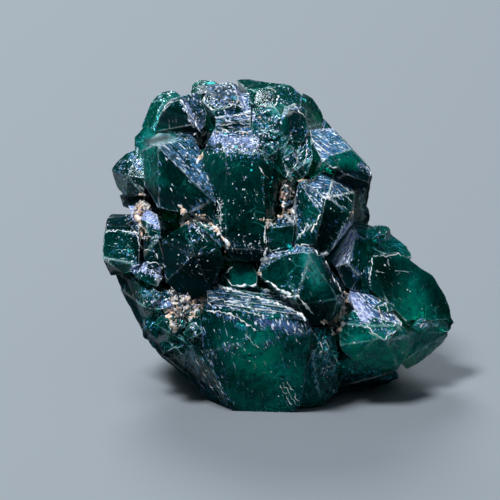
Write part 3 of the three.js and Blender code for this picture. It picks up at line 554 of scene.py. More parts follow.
# %% Worn edges and uneven faces
SINES = 24
SINE_SPREAD = (0.6, 1.6)
KEEN_EDGE = 130.0
WORN_EDGE = 34.0
WEAR_SIZE, WEAR_SPREAD = 0.9, 1.3
WAVE_SIZE, WAVE_DEPTH, WAVE_SUNK = 2.6, 0.03, 1.2
RIPPLE_SIZE, RIPPLE_DEPTH, RIPPLE_SUNK = 0.8, 0.012, 0.2
ROUGH = {
    "footLeft": 5, "leftLower": 5, "lowerCentre": 2, "leftRoughA": 4, "leftRoughB": 5, "leftRoughC": 5,
    "leftRoughD": 4, "centreRough": 4, "roughArch": 3, "roughSide": 4, "betweenLow": 4, "rightBar": 3,
    "lowerRightFoot": 5, "rightEnd": 5, "rightTealTop": 5, "topDome": 3, "topTealStep": 4, "leftBlock": 2,
    "topCube": 2, "topSmall": 3, "lowerRightTop": 4, "leftLavender": 3, "rightRim": 3, "leftBehind": 3,
}


def wander(points, size, seed):
    """A smooth value from about -1 to 1: a sum of sines of random direction and phase, with
    wavelengths spread around the given size in millimetres."""
    rng = np.random.default_rng(seed)
    ways = rng.normal(size=(SINES, 3))
    turns = 2 * np.pi / size * rng.uniform(*SINE_SPREAD, SINES)
    ways *= (turns / np.linalg.norm(ways, axis=1))[:, None]
    phases = rng.uniform(0, 2 * np.pi, SINES)
    return np.sin(points @ ways.T + phases).sum(1) / np.sqrt(SINES)


def worn(points, shape, seed):
    """Scales each point toward the middle by (sum of ratio ** p) ** (-1 / p), where ratio is
    how near it is to each plane and p is large where the edge is keen. Then it sinks by the
    waves and ripples, where those lie below nought."""
    facets, middle = shape["facets"], shape["middle"]
    offsets = points - middle
    ratios = np.maximum(offsets @ facets[:, :3].T / (facets[:, 3] - facets[:, :3] @ middle), 0)
    keen = 0.5 + 0.5 * np.clip(WEAR_SPREAD * wander(points, WEAR_SIZE, seed), -1, 1)
    power = WORN_EDGE * (KEEN_EDGE / WORN_EDGE) ** keen
    scale = (ratios ** power[:, None]).sum(1) ** (-1 / power)
    ripple = RIPPLE_DEPTH * shape["rough"] * (wander(points, RIPPLE_SIZE, seed + 2) - RIPPLE_SUNK)
    wave = WAVE_DEPTH * (wander(points, WAVE_SIZE, seed + 1) - WAVE_SUNK) + ripple
    reach = np.linalg.norm(offsets, axis=1)
    return middle + offsets * (scale + np.minimum(wave, 0) / reach)[:, None]


for name, shape in shapes.items():
    shape["rough"] = ROUGH.get(name, 1)
print(len(ROUGH), "crystals are rough")

# %% [markdown]
# The grids of one crystal become a closed skin once the points that neighbours share are
# welded. A triangle faces outward when its normal points away from the crystal's middle.

# %% Close each crystal's skin
WELD_CELL = 1e-5
WELD_SHIFT = 0.3719
SEED_STEP = 10


def stacked(pieces):
    """Joins lists of points and triangles, with each list's numbers moved past the last."""
    starts = np.cumsum([0] + [len(points) for points, _ in pieces])
    triangles = [faces + start for (_, faces), start in zip(pieces, starts)]
    return np.vstack([points for points, _ in pieces]), np.vstack(triangles)


def welded(points, triangles):
    """Points in the same cell of a very fine grid become one. The grid is shifted, so that
    no round number lies on a cell's edge."""
    cells = np.floor(points / WELD_CELL + WELD_SHIFT).astype(np.int64)
    _, first, where = np.unique(cells, axis=0, return_index=True, return_inverse=True)
    triangles = where.reshape(-1)[triangles]
    return points[first], triangles[(triangles != np.roll(triangles, 1, axis=1)).all(1)]


def closed_skin(facets, middle):
    """Welds a crystal's facets, each given as points and triangles, and turns them outward."""
    points, triangles = welded(*stacked(facets))
    a, b, c = (points[triangles[:, k]] for k in range(3))
    inward = (np.cross(b - a, c - a) * (a - middle)).sum(1) <= 0
    triangles[inward] = triangles[inward][:, ::-1]
    return points, triangles


def grid_step(name):
    """Chips have small cells, and crystals out of sight have large ones."""
    if name.startswith("chip"):
        return CHIP_STEP
    return HIDDEN_STEP if name in HABIT_CRYSTALS or name == "heart" else GRID_STEP


def worn_skin(name, seed):
    """The crystal's facets as grids, closed into one skin and worn."""
    shape = shapes[name]
    grids = [facet_grid(ring, grid_step(name)) for ring in shape["rings"]]
    points, triangles = closed_skin(grids, shape["middle"])
    return worn(points, shape, seed), triangles


skin_seeds = {name: SEED_STEP * number for number, name in enumerate(shapes)}
skins = {name: worn_skin(name, seed) for name, seed in skin_seeds.items()}
print("skin points:", sum(len(points) for points, _ in skins.values()))

# %% [markdown]
# The skins overlap where the crystals have grown through each other. On a real cluster there
# is nothing inside but one clear solid, and a ray of light crosses it without meeting a
# hidden wall. A Boolean union removes those walls, and a few helpers prepare it.

# %% Helpers that make, join and remove meshes
def mesh_object(name, points, triangles):
    """Puts whole arrays of points and triangles into a new mesh object."""
    mesh = bpy.data.meshes.new(name)
    mesh.from_pydata(points.tolist(), [], triangles.tolist())
    made = bpy.data.objects.new(name, mesh)
    bpy.context.scene.collection.objects.link(made)
    return made


def grouped(name, objects):
    """A collection that holds only these objects, for a Boolean to work with."""
    group = bpy.data.collections.new(name)
    for piece in objects:
        bpy.context.scene.collection.objects.unlink(piece)
        group.objects.link(piece)
    return group


def cut_or_join(target, group, operation):
    """Adds a Boolean of everything in the group to the target."""
    step = target.modifiers.new(operation.lower(), "BOOLEAN")
    step.operation, step.operand_type, step.collection = operation, "COLLECTION", group
    step.solver = "MANIFOLD"


def finished_arrays(target):
    """The points and triangles of an object with its modifiers applied."""
    ready = target.evaluated_get(bpy.context.evaluated_depsgraph_get()).to_mesh()
    ready.calc_loop_triangles()
    points = np.empty(len(ready.vertices) * 3)
    ready.vertices.foreach_get("co", points)
    triangles = np.empty(len(ready.loop_triangles) * 3, np.int32)
    ready.loop_triangles.foreach_get("vertices", triangles)
    return points.reshape(-1, 3), triangles.reshape(-1, 3)


def discard(objects):
    """Removes helper objects and their meshes."""
    for piece in objects:
        mesh = piece.data
        bpy.data.objects.remove(piece)
        bpy.data.meshes.remove(mesh)


# %% [markdown]
# The union leaves sealed hollows between some crystals. They are skins of their own, so
# keeping only the largest connected skin removes them.

# %% Keep the largest skin
def largest_skin(points, triangles):
    """Keeps the connected skin with the most points. Every point takes the lowest label among
    its neighbours until nothing changes, and a label's own label is followed to its end."""
    label = np.arange(len(points))
    ends = np.vstack([triangles[:, [0, 1]], triangles[:, [1, 2]]])
    before = None
    while before is None or (label != before).any():
        before = label.copy()
        low = np.minimum(label[ends[:, 0]], label[ends[:, 1]])
        np.minimum.at(label, ends[:, 0], low)
        np.minimum.at(label, ends[:, 1], low)
        label = label[label]
    kept = label == np.bincount(label).argmax()
    index = np.cumsum(kept) - 1
    return points[kept], index[triangles[kept[triangles[:, 0]]]]


print("largest skin of the heart:", len(largest_skin(*skins["heart"])[1]), "triangles")

# %% [markdown]
# All skins are joined to the heart's, and a large box below the base cuts the cluster flat.

# %% Join the crystals
GROUND_SIZE = 60.0
BOX_FACES = np.array([(0, 1, 3, 2), (4, 6, 7, 5), (0, 4, 5, 1), (2, 3, 7, 6), (0, 2, 6, 4), (1, 5, 7, 3)])

below_ground = zip([-GROUND_SIZE] * 3, [GROUND_SIZE, GROUND_SIZE, REST_HEIGHT])
ground = mesh_object("ground", np.array(list(product(*below_ground))), BOX_FACES)
helpers = [mesh_object(name, points @ UPRIGHT.T, triangles) for name, (points, triangles) in skins.items()]
heart = helpers.pop()
cut_or_join(heart, grouped("crystals", helpers), "UNION")
cut_or_join(heart, grouped("below", [ground]), "DIFFERENCE")
upright_points, triangles = largest_skin(*finished_arrays(heart))
discard([heart, ground, *helpers])
print("joined surface:", len(upright_points), "points,", len(triangles), "triangles")

# %% [markdown]
# The joined surface now goes to its place in the frame. Its box and the frame's box have the
# same middle, and both stand on the same height, so one shift is enough.

# %% Put the surface in its place
low, high = (np.array(corner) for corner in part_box(SURFACE))
shift = (low + high) / 2 - MM * (upright_points.min(0) + upright_points.max(0)) / 2
shift[2] = low[2] - MM * REST_HEIGHT
surface_points = upright_points * MM + shift


def placed(view_points):
    """Millimetres in the view's frame become metres in the part's frame."""
    return view_points @ UPRIGHT.T * MM + shift


view_points = (surface_points - shift) / MM @ UPRIGHT
past_box = np.array([surface_points.min(0) - low, surface_points.max(0) - high]) / MM
print("box of the surface against the frame, mm:", past_box.round(3).tolist())

# %% [markdown]
# The finish of the real crystals depends on where you look: worn white lines along edges,
# crumbs in seams, frost on the faces that grew upward, which also paints their reflection,
# and a painted green glow where light comes through thin parts. All of these can be measured
# from the same planes. For every point the script asks which crystal it lies on, how far the
# next facet's edge is, and how far the neighbouring crystal is.

# %% Measure edges and seams
CHUNK = 20000
names = list(shapes)
facet_counts = np.array([len(crystals[name]) for name in names])
facet_starts = np.append(0, np.cumsum(facet_counts)[:-1])
facet_owner = np.repeat(np.arange(len(names)), facet_counts)
all_facets = np.vstack([crystals[name] for name in names])


def survey(view_points):
    """For each point: its facet (the outermost plane of the crystal it is deepest in, or
    least far out of), the gap to that crystal's next plane, and the gap to the next crystal,
    in millimetres."""
    facets, edges, seams = [], [], []
    for start in range(0, len(view_points), CHUNK):
        part = view_points[start:start + CHUNK].astype(np.float32)
        heights = part @ all_facets[:, :3].T.astype(np.float32) - all_facets[:, 3].astype(np.float32)
        depth = np.maximum.reduceat(heights, facet_starts, axis=1)
        nearest = np.partition(depth, 1, axis=1)
        own = np.where(facet_owner == depth.argmin(1)[:, None], heights, -np.inf)
        top = np.partition(own, -2, axis=1)
        facets.append(own.argmax(1))
        edges.append(top[:, -1] - top[:, -2])
        seams.append(nearest[:, 1] - nearest[:, 0])
    return (np.concatenate(found) for found in (facets, edges, seams))


_, edge_gap, seam_gap = survey(view_points)
face_facet, _, _ = survey(view_points[triangles].mean(1))
print("points within 0.1 mm of an edge:", (edge_gap < 0.1).sum(), " of a seam:", (seam_gap < 0.1).sum())

# %% [markdown]
# Faces that grew upward carry a pale blue-white frost, and its pale colour also paints the
# reflection of the window light that these faces catch. Rather than listing hundreds of
# facets, a rule finds them: the mirror image of the viewer's line of sight climbs steeply, or,
# at half strength, the face looks up. How much frost and painted reflection a crystal has,
# and how white its edges are worn, is given crystal by crystal. So is a hue: below nought the
# frost turns from blue to turquoise.

# %% Frost with painted reflection, wear and hue of every facet
PLAIN_FROST_AND_SHEEN, LEDGE_FROST_AND_SHEEN = 0.3, 0.38
PLAIN_WEAR, LEDGE_WEAR = 0.3, 0.8
MIRROR_CLIMB = (0.35, 0.75)
SKYWARD, SKY_FROST = (0.5, 1.0), 0.5
# Frost per crystal, with the painted reflection of the window in the same pale colour.
FROST_AND_SHEEN = {
    "upperLeft": 0.52, "centre": 0.5, "topCube": 0.42, "upperLeftPeak": 0.5, "rightTop": 0.75,
    "leftLavender": 1.0, "rightLavender": 1.0, "lowerRightTop": 0.9, "rightCentre": 0.7,
    "rightStriated": 0.6, "leftBall": 0.3, "innerRight": 0.5, "innerRightSmall": 0.5, "leftRoughA": 0.8,
    "leftRoughB": 0.5, "leftRoughC": 0.5, "centreRough": 0.35, "roughArch": 0.2, "roughSide": 0.4,
    "topDome": 0.2, "topRound": 0.22, "ledgeTeal": 0.05, "leftCentre": 0.2, "rightMain": 0.1,
    "rightTealTop": 0.25, "lowerCentre": 0.2, "topTealStep": 0.15, "topSmall": 0.2, "topLeftBack": 0.12,
    "topRightBack": 0.5,
}
WEAR = {
    "centre": 0.12, "lowerCentre": 0.1, "upperLeft": 0.3, "innerRight": 0.3, "rightTealTop": 0.8,
    "rightMain": 0.5, "ledgeTeal": 0.6, "topCube": 0.9, "upperLeftPeak": 0.4, "rightTop": 0.7,
    "leftBlock": 0.5, "leftCentre": 0.06, "innerRightSmall": 0.8, "lowerRightTop": 0.9,
    "rightStriated": 0.7, "topRound": 0.5,
}
HUE = {
    "upperLeft": -0.1, "topCube": 0.0, "centreRough": -0.25, "topRound": -0.3, "leftBall": -0.2,
    "rightTealTop": -0.6, "lowerRightFoot": -0.8, "footLeft": -0.4, "leftLower": -0.5, "betweenLow": -0.4,
}
ledges = [name for name in names if "Ledge" in name]
FROST_AND_SHEEN |= dict.fromkeys(ledges, LEDGE_FROST_AND_SHEEN)
WEAR |= dict.fromkeys(ledges, LEDGE_WEAR)


def smooth(values, low, high):
    """0 below low, 1 above high, and 3t^2 - 2t^3 in between."""
    share = np.clip((values - low) / (high - low), 0, 1)
    return share * share * (3 - 2 * share)


def per_facet(table, plain):
    """The table's value for each facet's crystal, or the plain value."""
    return np.array([table.get(name, plain) for name in names])[facet_owner]


normals = all_facets[:, :3]
# Painted reflection: facets whose mirrored line of sight climbs toward the window turn pale.
mirror_sheen = smooth(2 * normals[:, 2] * normals[:, 1], *MIRROR_CLIMB)
skyward = SKY_FROST * smooth(normals @ np.linalg.inv(UPRIGHT)[:, 2], *SKYWARD)
facet_frost_and_sheen = np.maximum(mirror_sheen, skyward) * per_facet(FROST_AND_SHEEN, PLAIN_FROST_AND_SHEEN)
print("frosted facets:", (facet_frost_and_sheen > 0.4).sum(), "of", len(facet_frost_and_sheen))

# %% [markdown]
# Faces also carry fine lines along the way the crystal grew, away from the heart of the
# cluster. A few crystals were rubbed or stepped another way, so theirs is given. Each facet
# keeps two directions that lie in it: along its lines, and across them.

# %% Which way the fine lines run
LEDGE_RUN = (1.0, -0.14, 0.0)
LINES_RUN = {
    "rightTop": (1.0, -0.55, 0.0), "rightStriated": (1.0, -0.7, 0.0), "innerRight": (0.5, -1.0, 0.0),
    "lowerCentre": (0.25, -1.0, 0.0), "upperLeft": (0.6, -1.0, 0.0), "rightLavender": (-0.5, -1.0, 0.0),
    "footLeft": (0.6, -1.0, 0.0), "lowerRightTop": (0.7, -1.0, 0.0), "betweenLow": (-0.3, -1.0, 0.0),
}
LINES_RUN |= dict.fromkeys(ledges, LEDGE_RUN)
combed = np.array([name in LINES_RUN for name in names])[facet_owner]
grown = [LINES_RUN.get(name, shapes[name]["middle"] - HEART_MIDDLE) for name in names]
across = np.cross(normals, np.array(grown)[facet_owner])
across /= np.maximum(np.linalg.norm(across, axis=1), ON_PLANE)[:, None]
along = np.cross(across, normals)
print("facets without a direction:", (np.linalg.norm(across, axis=1) < 0.5).sum())

# %% [markdown]
# Other marks follow no rule, so they are drawn on the front view: each is a soft stroke from
# one point to another, with a width and a strength. The drawing's units are fine, 56 to the
# millimetre, and count right and down from its corner, which suits reading places off a
# large print. Glows are a painted glow, green where light comes through thin parts. Shades
# are painted shade, which darkens clefts and faces where little light falls. Films are
# painted grey reflections on patches worn dull.

# %% Painted glows, painted shades and painted reflections drawn on the front
# Painted glow: green where light comes through thin parts of the crystals.
PAINTED_GLOWS = [
    ((740, 1190), (690, 1270), 130, 1.0), ((560, 1160), (640, 1200), 60, 0.4),
    ((1310, 950), (1290, 1000), 80, 0.8), ((1200, 1160), (1240, 1150), 60, 1.0),
    ((1000, 405), (1080, 420), 35, 0.9), ((820, 230), (820, 260), 40, 0.5),
    ((265, 420), (290, 500), 50, 0.25), ((400, 520), (420, 560), 50, 0.15),
    ((1100, 1170), (1200, 1190), 80, 1.0), ((262, 190), (255, 250), 45, 0.7),
    ((560, 430), (600, 460), 80, 0.35), ((1310, 1190), (1430, 1160), 45, 0.6),
    ((620, 850), (650, 870), 45, 0.4), ((870, 560), (880, 620), 50, 0.3),
    ((1210, 740), (1270, 770), 30, 0.4),
]
# Painted shade: strokes that darken the colour where the front lies in shadow.
PAINTED_SHADES = [
    ((258, 332), (336, 316), 26, 0.34), ((700, 140), (750, 155), 30, 0.3),
    ((640, 470), (640, 700), 70, 0.25), ((500, 115), (600, 160), 50, 0.5),
    ((500, 345), (690, 345), 40, 0.4), ((150, 430), (200, 480), 50, 0.3),
    ((330, 360), (500, 540), 40, 0.44), ((470, 300), (474, 340), 20, 0.4),
    ((330, 420), (420, 560), 50, 0.3), ((1200, 850), (1230, 930), 50, 0.3),
    ((1380, 900), (1440, 1000), 30, 0.3), ((480, 1120), (520, 1220), 60, 0.3),
    ((560, 1270), (700, 1330), 60, 0.3), ((790, 1100), (870, 1180), 50, 0.25),
    ((350, 880), (500, 930), 60, 0.9), ((600, 740), (700, 780), 60, 0.7),
    ((560, 470), (640, 500), 110, 0.3), ((360, 780), (480, 840), 90, 0.6),
    ((840, 560), (820, 640), 60, 0.5), ((1010, 850), (1060, 900), 50, 0.7),
    ((290, 220), (420, 270), 60, 0.5), ((300, 560), (480, 590), 60, 0.5), ((100, 640), (180, 640), 40, 0.7),
    ((860, 1010), (930, 1030), 50, 0.8), ((985, 650), (940, 740), 30, 0.6),
    ((420, 1250), (560, 1400), 50, 0.4), ((1060, 1290), (1260, 1290), 50, 0.6),
    ((130, 880), (230, 1130), 40, 1.0), ((110, 560), (220, 560), 40, 0.5),
    ((230, 1130), (560, 1410), 40, 1.0), ((1030, 480), (1110, 495), 40, 0.9),
    ((250, 540), (280, 600), 30, 0.9), ((225, 700), (240, 800), 22, 0.9), ((455, 250), (470, 340), 30, 0.9),
    ((560, 265), (640, 265), 12, 0.8), ((1140, 520), (1150, 640), 30, 0.5),
    ((910, 170), (950, 260), 30, 0.4), ((840, 215), (840, 290), 40, 0.6),
]
# Painted reflections: grey patches that stand for soft reflections on patches worn dull.
PAINTED_REFLECTIONS = [
    ((258, 332), (336, 316), 26, 1.0), ((895, 800), (930, 880), 26, 0.6), ((775, 205), (815, 195), 22, 0.6),
    ((1125, 540), (1135, 620), 18, 0.6), ((905, 200), (935, 240), 20, 0.4),
    ((300, 150), (340, 140), 14, 0.5), ((1290, 1110), (1420, 1080), 30, 0.25),
]
print(len(PAINTED_GLOWS), "glows,", len(PAINTED_SHADES), "shades and", len(PAINTED_REFLECTIONS), "films")

# %% [markdown]
# Haze is frost that is drawn, and its pale colour is partly a painted reflection and
# highlight. The last number of its strokes is a tint: -1 turquoise, 0 blue, 1 lavender, and
# the lavender is a painted reflection of the sky.

# %% Haze, with painted reflection, drawn on the front
# Haze strokes: frost together with painted highlights and painted reflections.
HAZE_AND_SHEEN = [
    ((530, 320), (680, 335), 36, 0.9, 0.6), ((560, 385), (690, 400), 22, 0.4, 0.0),
    ((720, 290), (850, 430), 60, 0.4, 0.0), ((700, 250), (780, 240), 30, 0.45, 0.0),
    ((500, 120), (600, 150), 40, 0.6, 0.0), ((610, 120), (640, 190), 14, 0.9, 0.6),
    ((480, 170), (600, 185), 12, 0.6, 0.3), ((650, 200), (690, 250), 16, 0.8, 0.3),
    ((540, 210), (660, 245), 26, 0.6, 0.2), ((400, 170), (470, 290), 22, 0.8, 0.7),
    ((320, 175), (380, 155), 16, 0.5, 0.0), ((290, 125), (370, 125), 14, 0.6, -1.0),
    ((150, 420), (200, 540), 40, 0.3, 0.0), ((195, 385), (225, 440), 16, 0.8, 0.3),
    ((205, 300), (235, 330), 18, 0.4, -1.0), ((190, 600), (215, 640), 18, 1.1, 1.0),
    ((250, 620), (295, 665), 22, 1.1, 1.0), ((120, 650), (210, 675), 18, 0.35, 0.0),
    ((150, 750), (205, 790), 26, 0.4, -1.0), ((275, 730), (295, 800), 12, 0.35, 0.0),
    ((210, 835), (310, 860), 24, 0.8, 1.0), ((240, 935), (310, 950), 22, 0.5, -0.7),
    ((290, 975), (400, 995), 26, 0.7, 0.8), ((250, 1060), (340, 1120), 36, 0.3, -0.5),
    ((430, 1150), (520, 1340), 50, 0.22, 0.0), ((710, 1045), (840, 1070), 26, 0.85, 0.2),
    ((500, 1010), (610, 1035), 12, 0.5, 0.0), ((615, 1060), (640, 1070), 11, 0.8, -1.0),
    ((930, 1100), (1000, 1230), 30, 0.4, -0.8), ((1070, 950), (1120, 1030), 26, 1.2, 1.0),
    ((1160, 1080), (1225, 1085), 22, 0.6, -0.4), ((1068, 680), (1000, 800), 26, 2.0, 0.8),
    ((790, 765), (930, 775), 12, 0.5, 0.0), ((940, 790), (1015, 900), 16, 0.5, 0.0),
    ((910, 300), (1050, 350), 30, 0.5, -0.3), ((1105, 430), (1140, 460), 18, 0.6, 0.2),
    ((910, 222), (945, 252), 20, 1.2, 0.4), ((1115, 510), (1125, 630), 18, 0.4, 0.3),
    ((885, 490), (950, 505), 16, 0.6, 0.3), ((940, 470), (1070, 530), 26, 0.4, -0.5),
    ((1110, 690), (1280, 750), 34, 0.4, -1.0), ((1178, 695), (1182, 750), 12, 0.8, 0.3),
    ((1330, 1065), (1440, 1060), 14, 0.7, 0.3), ((1040, 1240), (1240, 1270), 34, 0.35, -0.9),
    ((700, 140), (750, 150), 30, 0.25, 0.3), ((470, 90), (520, 85), 18, 0.5, -1.0),
    ((430, 660), (540, 730), 14, 0.6, 0.7), ((590, 740), (700, 760), 26, 0.25, 0.2),
    ((180, 960), (300, 1150), 40, 0.3, -0.3), ((640, 90), (850, 130), 40, 0.3, 0.0),
    ((785, 250), (805, 205), 12, 0.7, 0.0), ((805, 205), (880, 195), 12, 0.7, 0.0),
    ((890, 290), (890, 420), 12, 0.6, 0.0), ((780, 330), (860, 440), 40, 0.35, 0.0),
]
print(len(HAZE_AND_SHEEN), "strokes of haze")

# %% [markdown]
# A stroke fades with the distance from its line as a bell curve does. Glows and tints add
# up where strokes cross, and of the other marks the strongest counts.

# %% Lay the strokes on the surface
DRAWN_PER_MM = 56.28
DRAWN_ZERO = (779.9, 723.6)
FRONT_FROM = -1


def drawn(points):
    """Units of the drawing, right and down, become millimetres right and up."""
    return (np.array(points, float) - DRAWN_ZERO) / [DRAWN_PER_MM, -DRAWN_PER_MM]


def stroke(start, end, width, strength):
    """strength * exp(-(gap / width) ** 2) at every point of the surface's front half, where
    gap is how far from the line the point is seen."""
    first, last = drawn([start, end])
    way = last - first
    offsets = view_points[:, :2] - first
    part = np.clip(offsets @ way / max(way @ way, ON_PLANE), 0, 1)
    gap = np.linalg.norm(offsets - part[:, None] * way, axis=1)
    return strength * np.exp(-((gap * DRAWN_PER_MM / width) ** 2)) * (view_points[:, 2] > FRONT_FROM)


glow = sum(stroke(*given) for given in PAINTED_GLOWS)
# The shade mark is painted shade.
shade = np.max([stroke(*given) for given in PAINTED_SHADES], axis=0)
film = np.max([stroke(*given) for given in PAINTED_REFLECTIONS], axis=0)
haze_and_sheen_strokes = [stroke(*given) for *given, _ in HAZE_AND_SHEEN]
haze = np.max(haze_and_sheen_strokes, axis=0)
tint = sum(hue * share for share, (*_, hue) in zip(haze_and_sheen_strokes, HAZE_AND_SHEEN))
print("points that glow:", (glow > 0.3).sum(), " hazy points:", (haze > 0.3).sum())

# %% [markdown]
# The mesh stores all of this as attributes, which the material reads by name: what was
# measured at each point, and what belongs to the whole facet. Edges that bend by more than
# 13 degrees are kept sharp, and everything flatter is shaded as one face.

# %% The joined crystals, with all of it stored
SHARP_BEND = 13


def store(mesh, name, values, domain):
    """Keeps a number or a direction per point or face under a name for the material."""
    kind, field = ("FLOAT", "value") if values.ndim == 1 else ("FLOAT_VECTOR", "vector")
    made = mesh.attributes.new(name, kind, domain)
    made.data.foreach_set(field, np.asarray(values, np.float32).ravel())


point_marks = {
    "edge": edge_gap, "seam": seam_gap, "glow": np.minimum(glow, 1), "shade": shade, "film": film,
    "haze": haze, "tint": np.clip(tint, -1, 1),
}
facet_marks = {
    "frost": facet_frost_and_sheen, "wear": per_facet(WEAR, PLAIN_WEAR), "combed": combed,
    "hue": per_facet(HUE, 0.0), "along": along @ UPRIGHT.T, "across": across @ UPRIGHT.T,
}
crystal_piece = mesh_object("dioptase_crystal_faces", surface_points, triangles)
for name, values in point_marks.items():
    store(crystal_piece.data, name, values, "POINT")
for name, values in facet_marks.items():
    store(crystal_piece.data, name, values[face_facet], "FACE")
crystal_piece.data.polygons.foreach_set("use_smooth", np.ones(len(triangles), bool))
crystal_piece.data.set_sharp_from_angle(angle=np.radians(SHARP_BEND))
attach(crystal_piece, "root")
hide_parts(SURFACE)
print("crystal faces:", len(triangles), "triangles")

# %% [markdown]
# A shader is a tree of nodes. Masks are built from many small sums and products, so an
# output is wrapped as a signal that can be added, subtracted and multiplied like a number.

# %% Signals and nodes
class Signal:
    """The output of a node. A sum, difference or product with another one, or with a number,
    is the output of a new Math node."""

    def __init__(self, nodes, socket):
        self.nodes = nodes
        self.socket = socket

    def __add__(self, other):
        return self.nodes.maths("ADD", self, other)

    def __sub__(self, other):
        return self.nodes.maths("SUBTRACT", self, other)

    def __rsub__(self, other):
        return self.nodes.maths("SUBTRACT", other, self)

    def __mul__(self, other):
        return self.nodes.maths("MULTIPLY", self, other)


class Nodes:
    """The node tree of a material or a world, which starts empty."""

    def __init__(self, owner):
        self.owner = owner
        owner.use_nodes = True
        owner.node_tree.nodes.clear()

    def node(self, kind, inputs, **settings):
        """Adds a node, with its settings first, and links or sets its inputs."""
        made = self.owner.node_tree.nodes.new(kind)
        for key, value in settings.items():
            setattr(made, key, value)
        for key, value in inputs.items():
            if isinstance(value, Signal):
                self.owner.node_tree.links.new(value.socket, made.inputs[key])
            else:
                made.inputs[key].default_value = value
        return made

    def add(self, kind, inputs, output=0, **settings):
        """Adds a node and gives back one of its outputs."""
        return Signal(self, self.node(kind, inputs, **settings).outputs[output])

    def maths(self, operation, first, second):
        """One Math node."""
        return self.add("ShaderNodeMath", {0: first, 1: second}, operation=operation)

    def largest(self, first, *others):
        """The largest of several signals."""
        for other in others:
            first = self.maths("MAXIMUM", first, other)
        return first

    def vector(self, operation, inputs, output=0):
        """One Vector Math node."""
        return self.add("ShaderNodeVectorMath", inputs, output, operation=operation)


# %% [markdown]
# Each kind of node that the lesson uses often has a short method, so that a material below
# reads as a list of what it looks like. A size is in millimetres, and a number per mm says
# how many cells or waves fit in one. A ramp is given by its stops, each a place with a grey
# or a colour.

# %% The kinds of nodes used here
MIX_SHARE, MIX_FIRST, MIX_SECOND, MIX_RESULT = 0, 6, 7, 2


class Look(Nodes):
    """A node tree with a method for ramps, mixes, noises, cells and stored marks."""

    def ramp(self, value, stops):
        """A colour ramp: stops are (place, colour), and a single number stands for a grey."""
        made = self.add("ShaderNodeValToRGB", {0: value})
        elements = made.socket.node.color_ramp.elements
        while len(elements) < len(stops):
            elements.new(1)
        for element, (place, colour) in zip(elements, stops):
            element.position = place
            element.color = colour if isinstance(colour, tuple) else (colour, colour, colour, 1)
        return made

    def mix(self, share, first, second, **settings):
        """A colour mix: the first where the share is 0, the second where it is 1."""
        inputs = {MIX_SHARE: share, MIX_FIRST: first, MIX_SECOND: second}
        settings |= {"data_type": "RGBA", "clamp_factor": True}
        return self.add("ShaderNodeMix", inputs, MIX_RESULT, **settings)

    def channels(self, colour):
        """The three channels of a colour, each a number of its own."""
        split = self.node("ShaderNodeSeparateColor", {0: colour})
        return [Signal(self, socket) for socket in split.outputs[:3]]

    def noise(self, where, size, detail=4, roughness=0.6):
        """Fractal noise with features of about this size in millimetres."""
        inputs = {"Vector": where, "Scale": 1 / size, "Detail": detail, "Roughness": roughness}
        return self.add("ShaderNodeTexNoise", inputs, "Fac")

    def bent(self, where, scale, reach, detail=2):
        """A place that coloured noise has pushed about, so that straight cells turn uneven."""
        push = self.add("ShaderNodeTexNoise", {"Vector": where, "Scale": scale, "Detail": detail}, "Color")
        return self.vector("ADD", {0: where, 1: self.vector("SCALE", {0: push, "Scale": reach})})

    def cells(self, where, scale):
        """The random colour of the Voronoi cell that a place lies in."""
        return self.add("ShaderNodeTexVoronoi", {"Vector": where, "Scale": scale}, "Color")

    def place_in_mm(self):
        """The object's own coordinates, in millimetres."""
        place = self.add("ShaderNodeTexCoord", {}, "Object")
        return self.add("ShaderNodeMapping", {"Vector": place, "Scale": (1 / MM, 1 / MM, 1 / MM)})

    def mark(self, name, output="Fac"):
        """What the mesh stores under this name."""
        return self.add("ShaderNodeAttribute", {}, output, attribute_name=name)

    def surface(self, inputs, **volume):
        """Ends a material with the Principled shader, whose inputs go by name."""
        ends = {"Surface": self.add("ShaderNodeBsdfPrincipled", inputs)} | volume
        self.node("ShaderNodeOutputMaterial", ends)


# %% [markdown]
# Dioptase is clear, so its colour comes from absorption: a millimetre is emerald and a
# centimetre is nearly black. The shader is a plain glass with the mineral's own refraction,
# and a volume that soaks up red and some blue. Frost and crumbs are whitish, the painted glow
# is green, and they let no light through, so they lower the transmission where their masks
# say. All masks start from what the mesh stores, from noises of a few sizes, and from noise
# drawn out along the lines.

# %% Dioptase: marks and noises
MOTTLE_SIZE, PATCH_SIZE, FINE_SIZE, STREAK_SIZE = 1.1, 2.3, 0.28, 0.14
LINE_STRETCH = 0.12
EDGE_BAND = ((0.0, 0.28), (0.2, 0.0))
BAND_PATCHES = ((0.35, 0.2), (0.6, 1.4))
SEAM_BAND = ((0.0, 0.4), (0.35, 0.0))
ZONE_LOSS = 0.06
DRIFT = 1.1

look = Look(bpy.data.materials.new("dioptase"))
mm = look.place_in_mm()
mottle = look.noise(mm, MOTTLE_SIZE, detail=6, roughness=0.7)
patchy = look.noise(mm, PATCH_SIZE, detail=3, roughness=0.5)
fine = look.noise(mm, FINE_SIZE, detail=5, roughness=0.75)
run = look.vector("DOT_PRODUCT", {0: mm, 1: look.mark("along", "Vector")}, "Value")
cut = look.vector("DOT_PRODUCT", {0: mm, 1: look.mark("across", "Vector")}, "Value")
line_place = look.add("ShaderNodeCombineXYZ", {0: run * LINE_STRETCH, 1: cut})
streak = look.noise(line_place, STREAK_SIZE, detail=4, roughness=0.65)

# The shade mark is painted shade, and the film mark is a painted grey reflection.
edge, seam, painted_shade, painted_reflection_share = (look.mark(name) for name in ("edge", "seam", "shade", "film"))
tinted = look.mark("tint") + look.mark("hue")
bare = 1.0 - painted_reflection_share
edge_band = look.ramp(edge, EDGE_BAND) * look.ramp(patchy, BAND_PATCHES)
seam_band = look.ramp(seam, SEAM_BAND)
zone = look.largest(look.mark("frost"), look.mark("haze"), edge_band, seam_band) - ZONE_LOSS
drift = mottle * DRIFT + streak * DRIFT - DRIFT
print("nodes so far:", len(look.owner.node_tree.nodes))
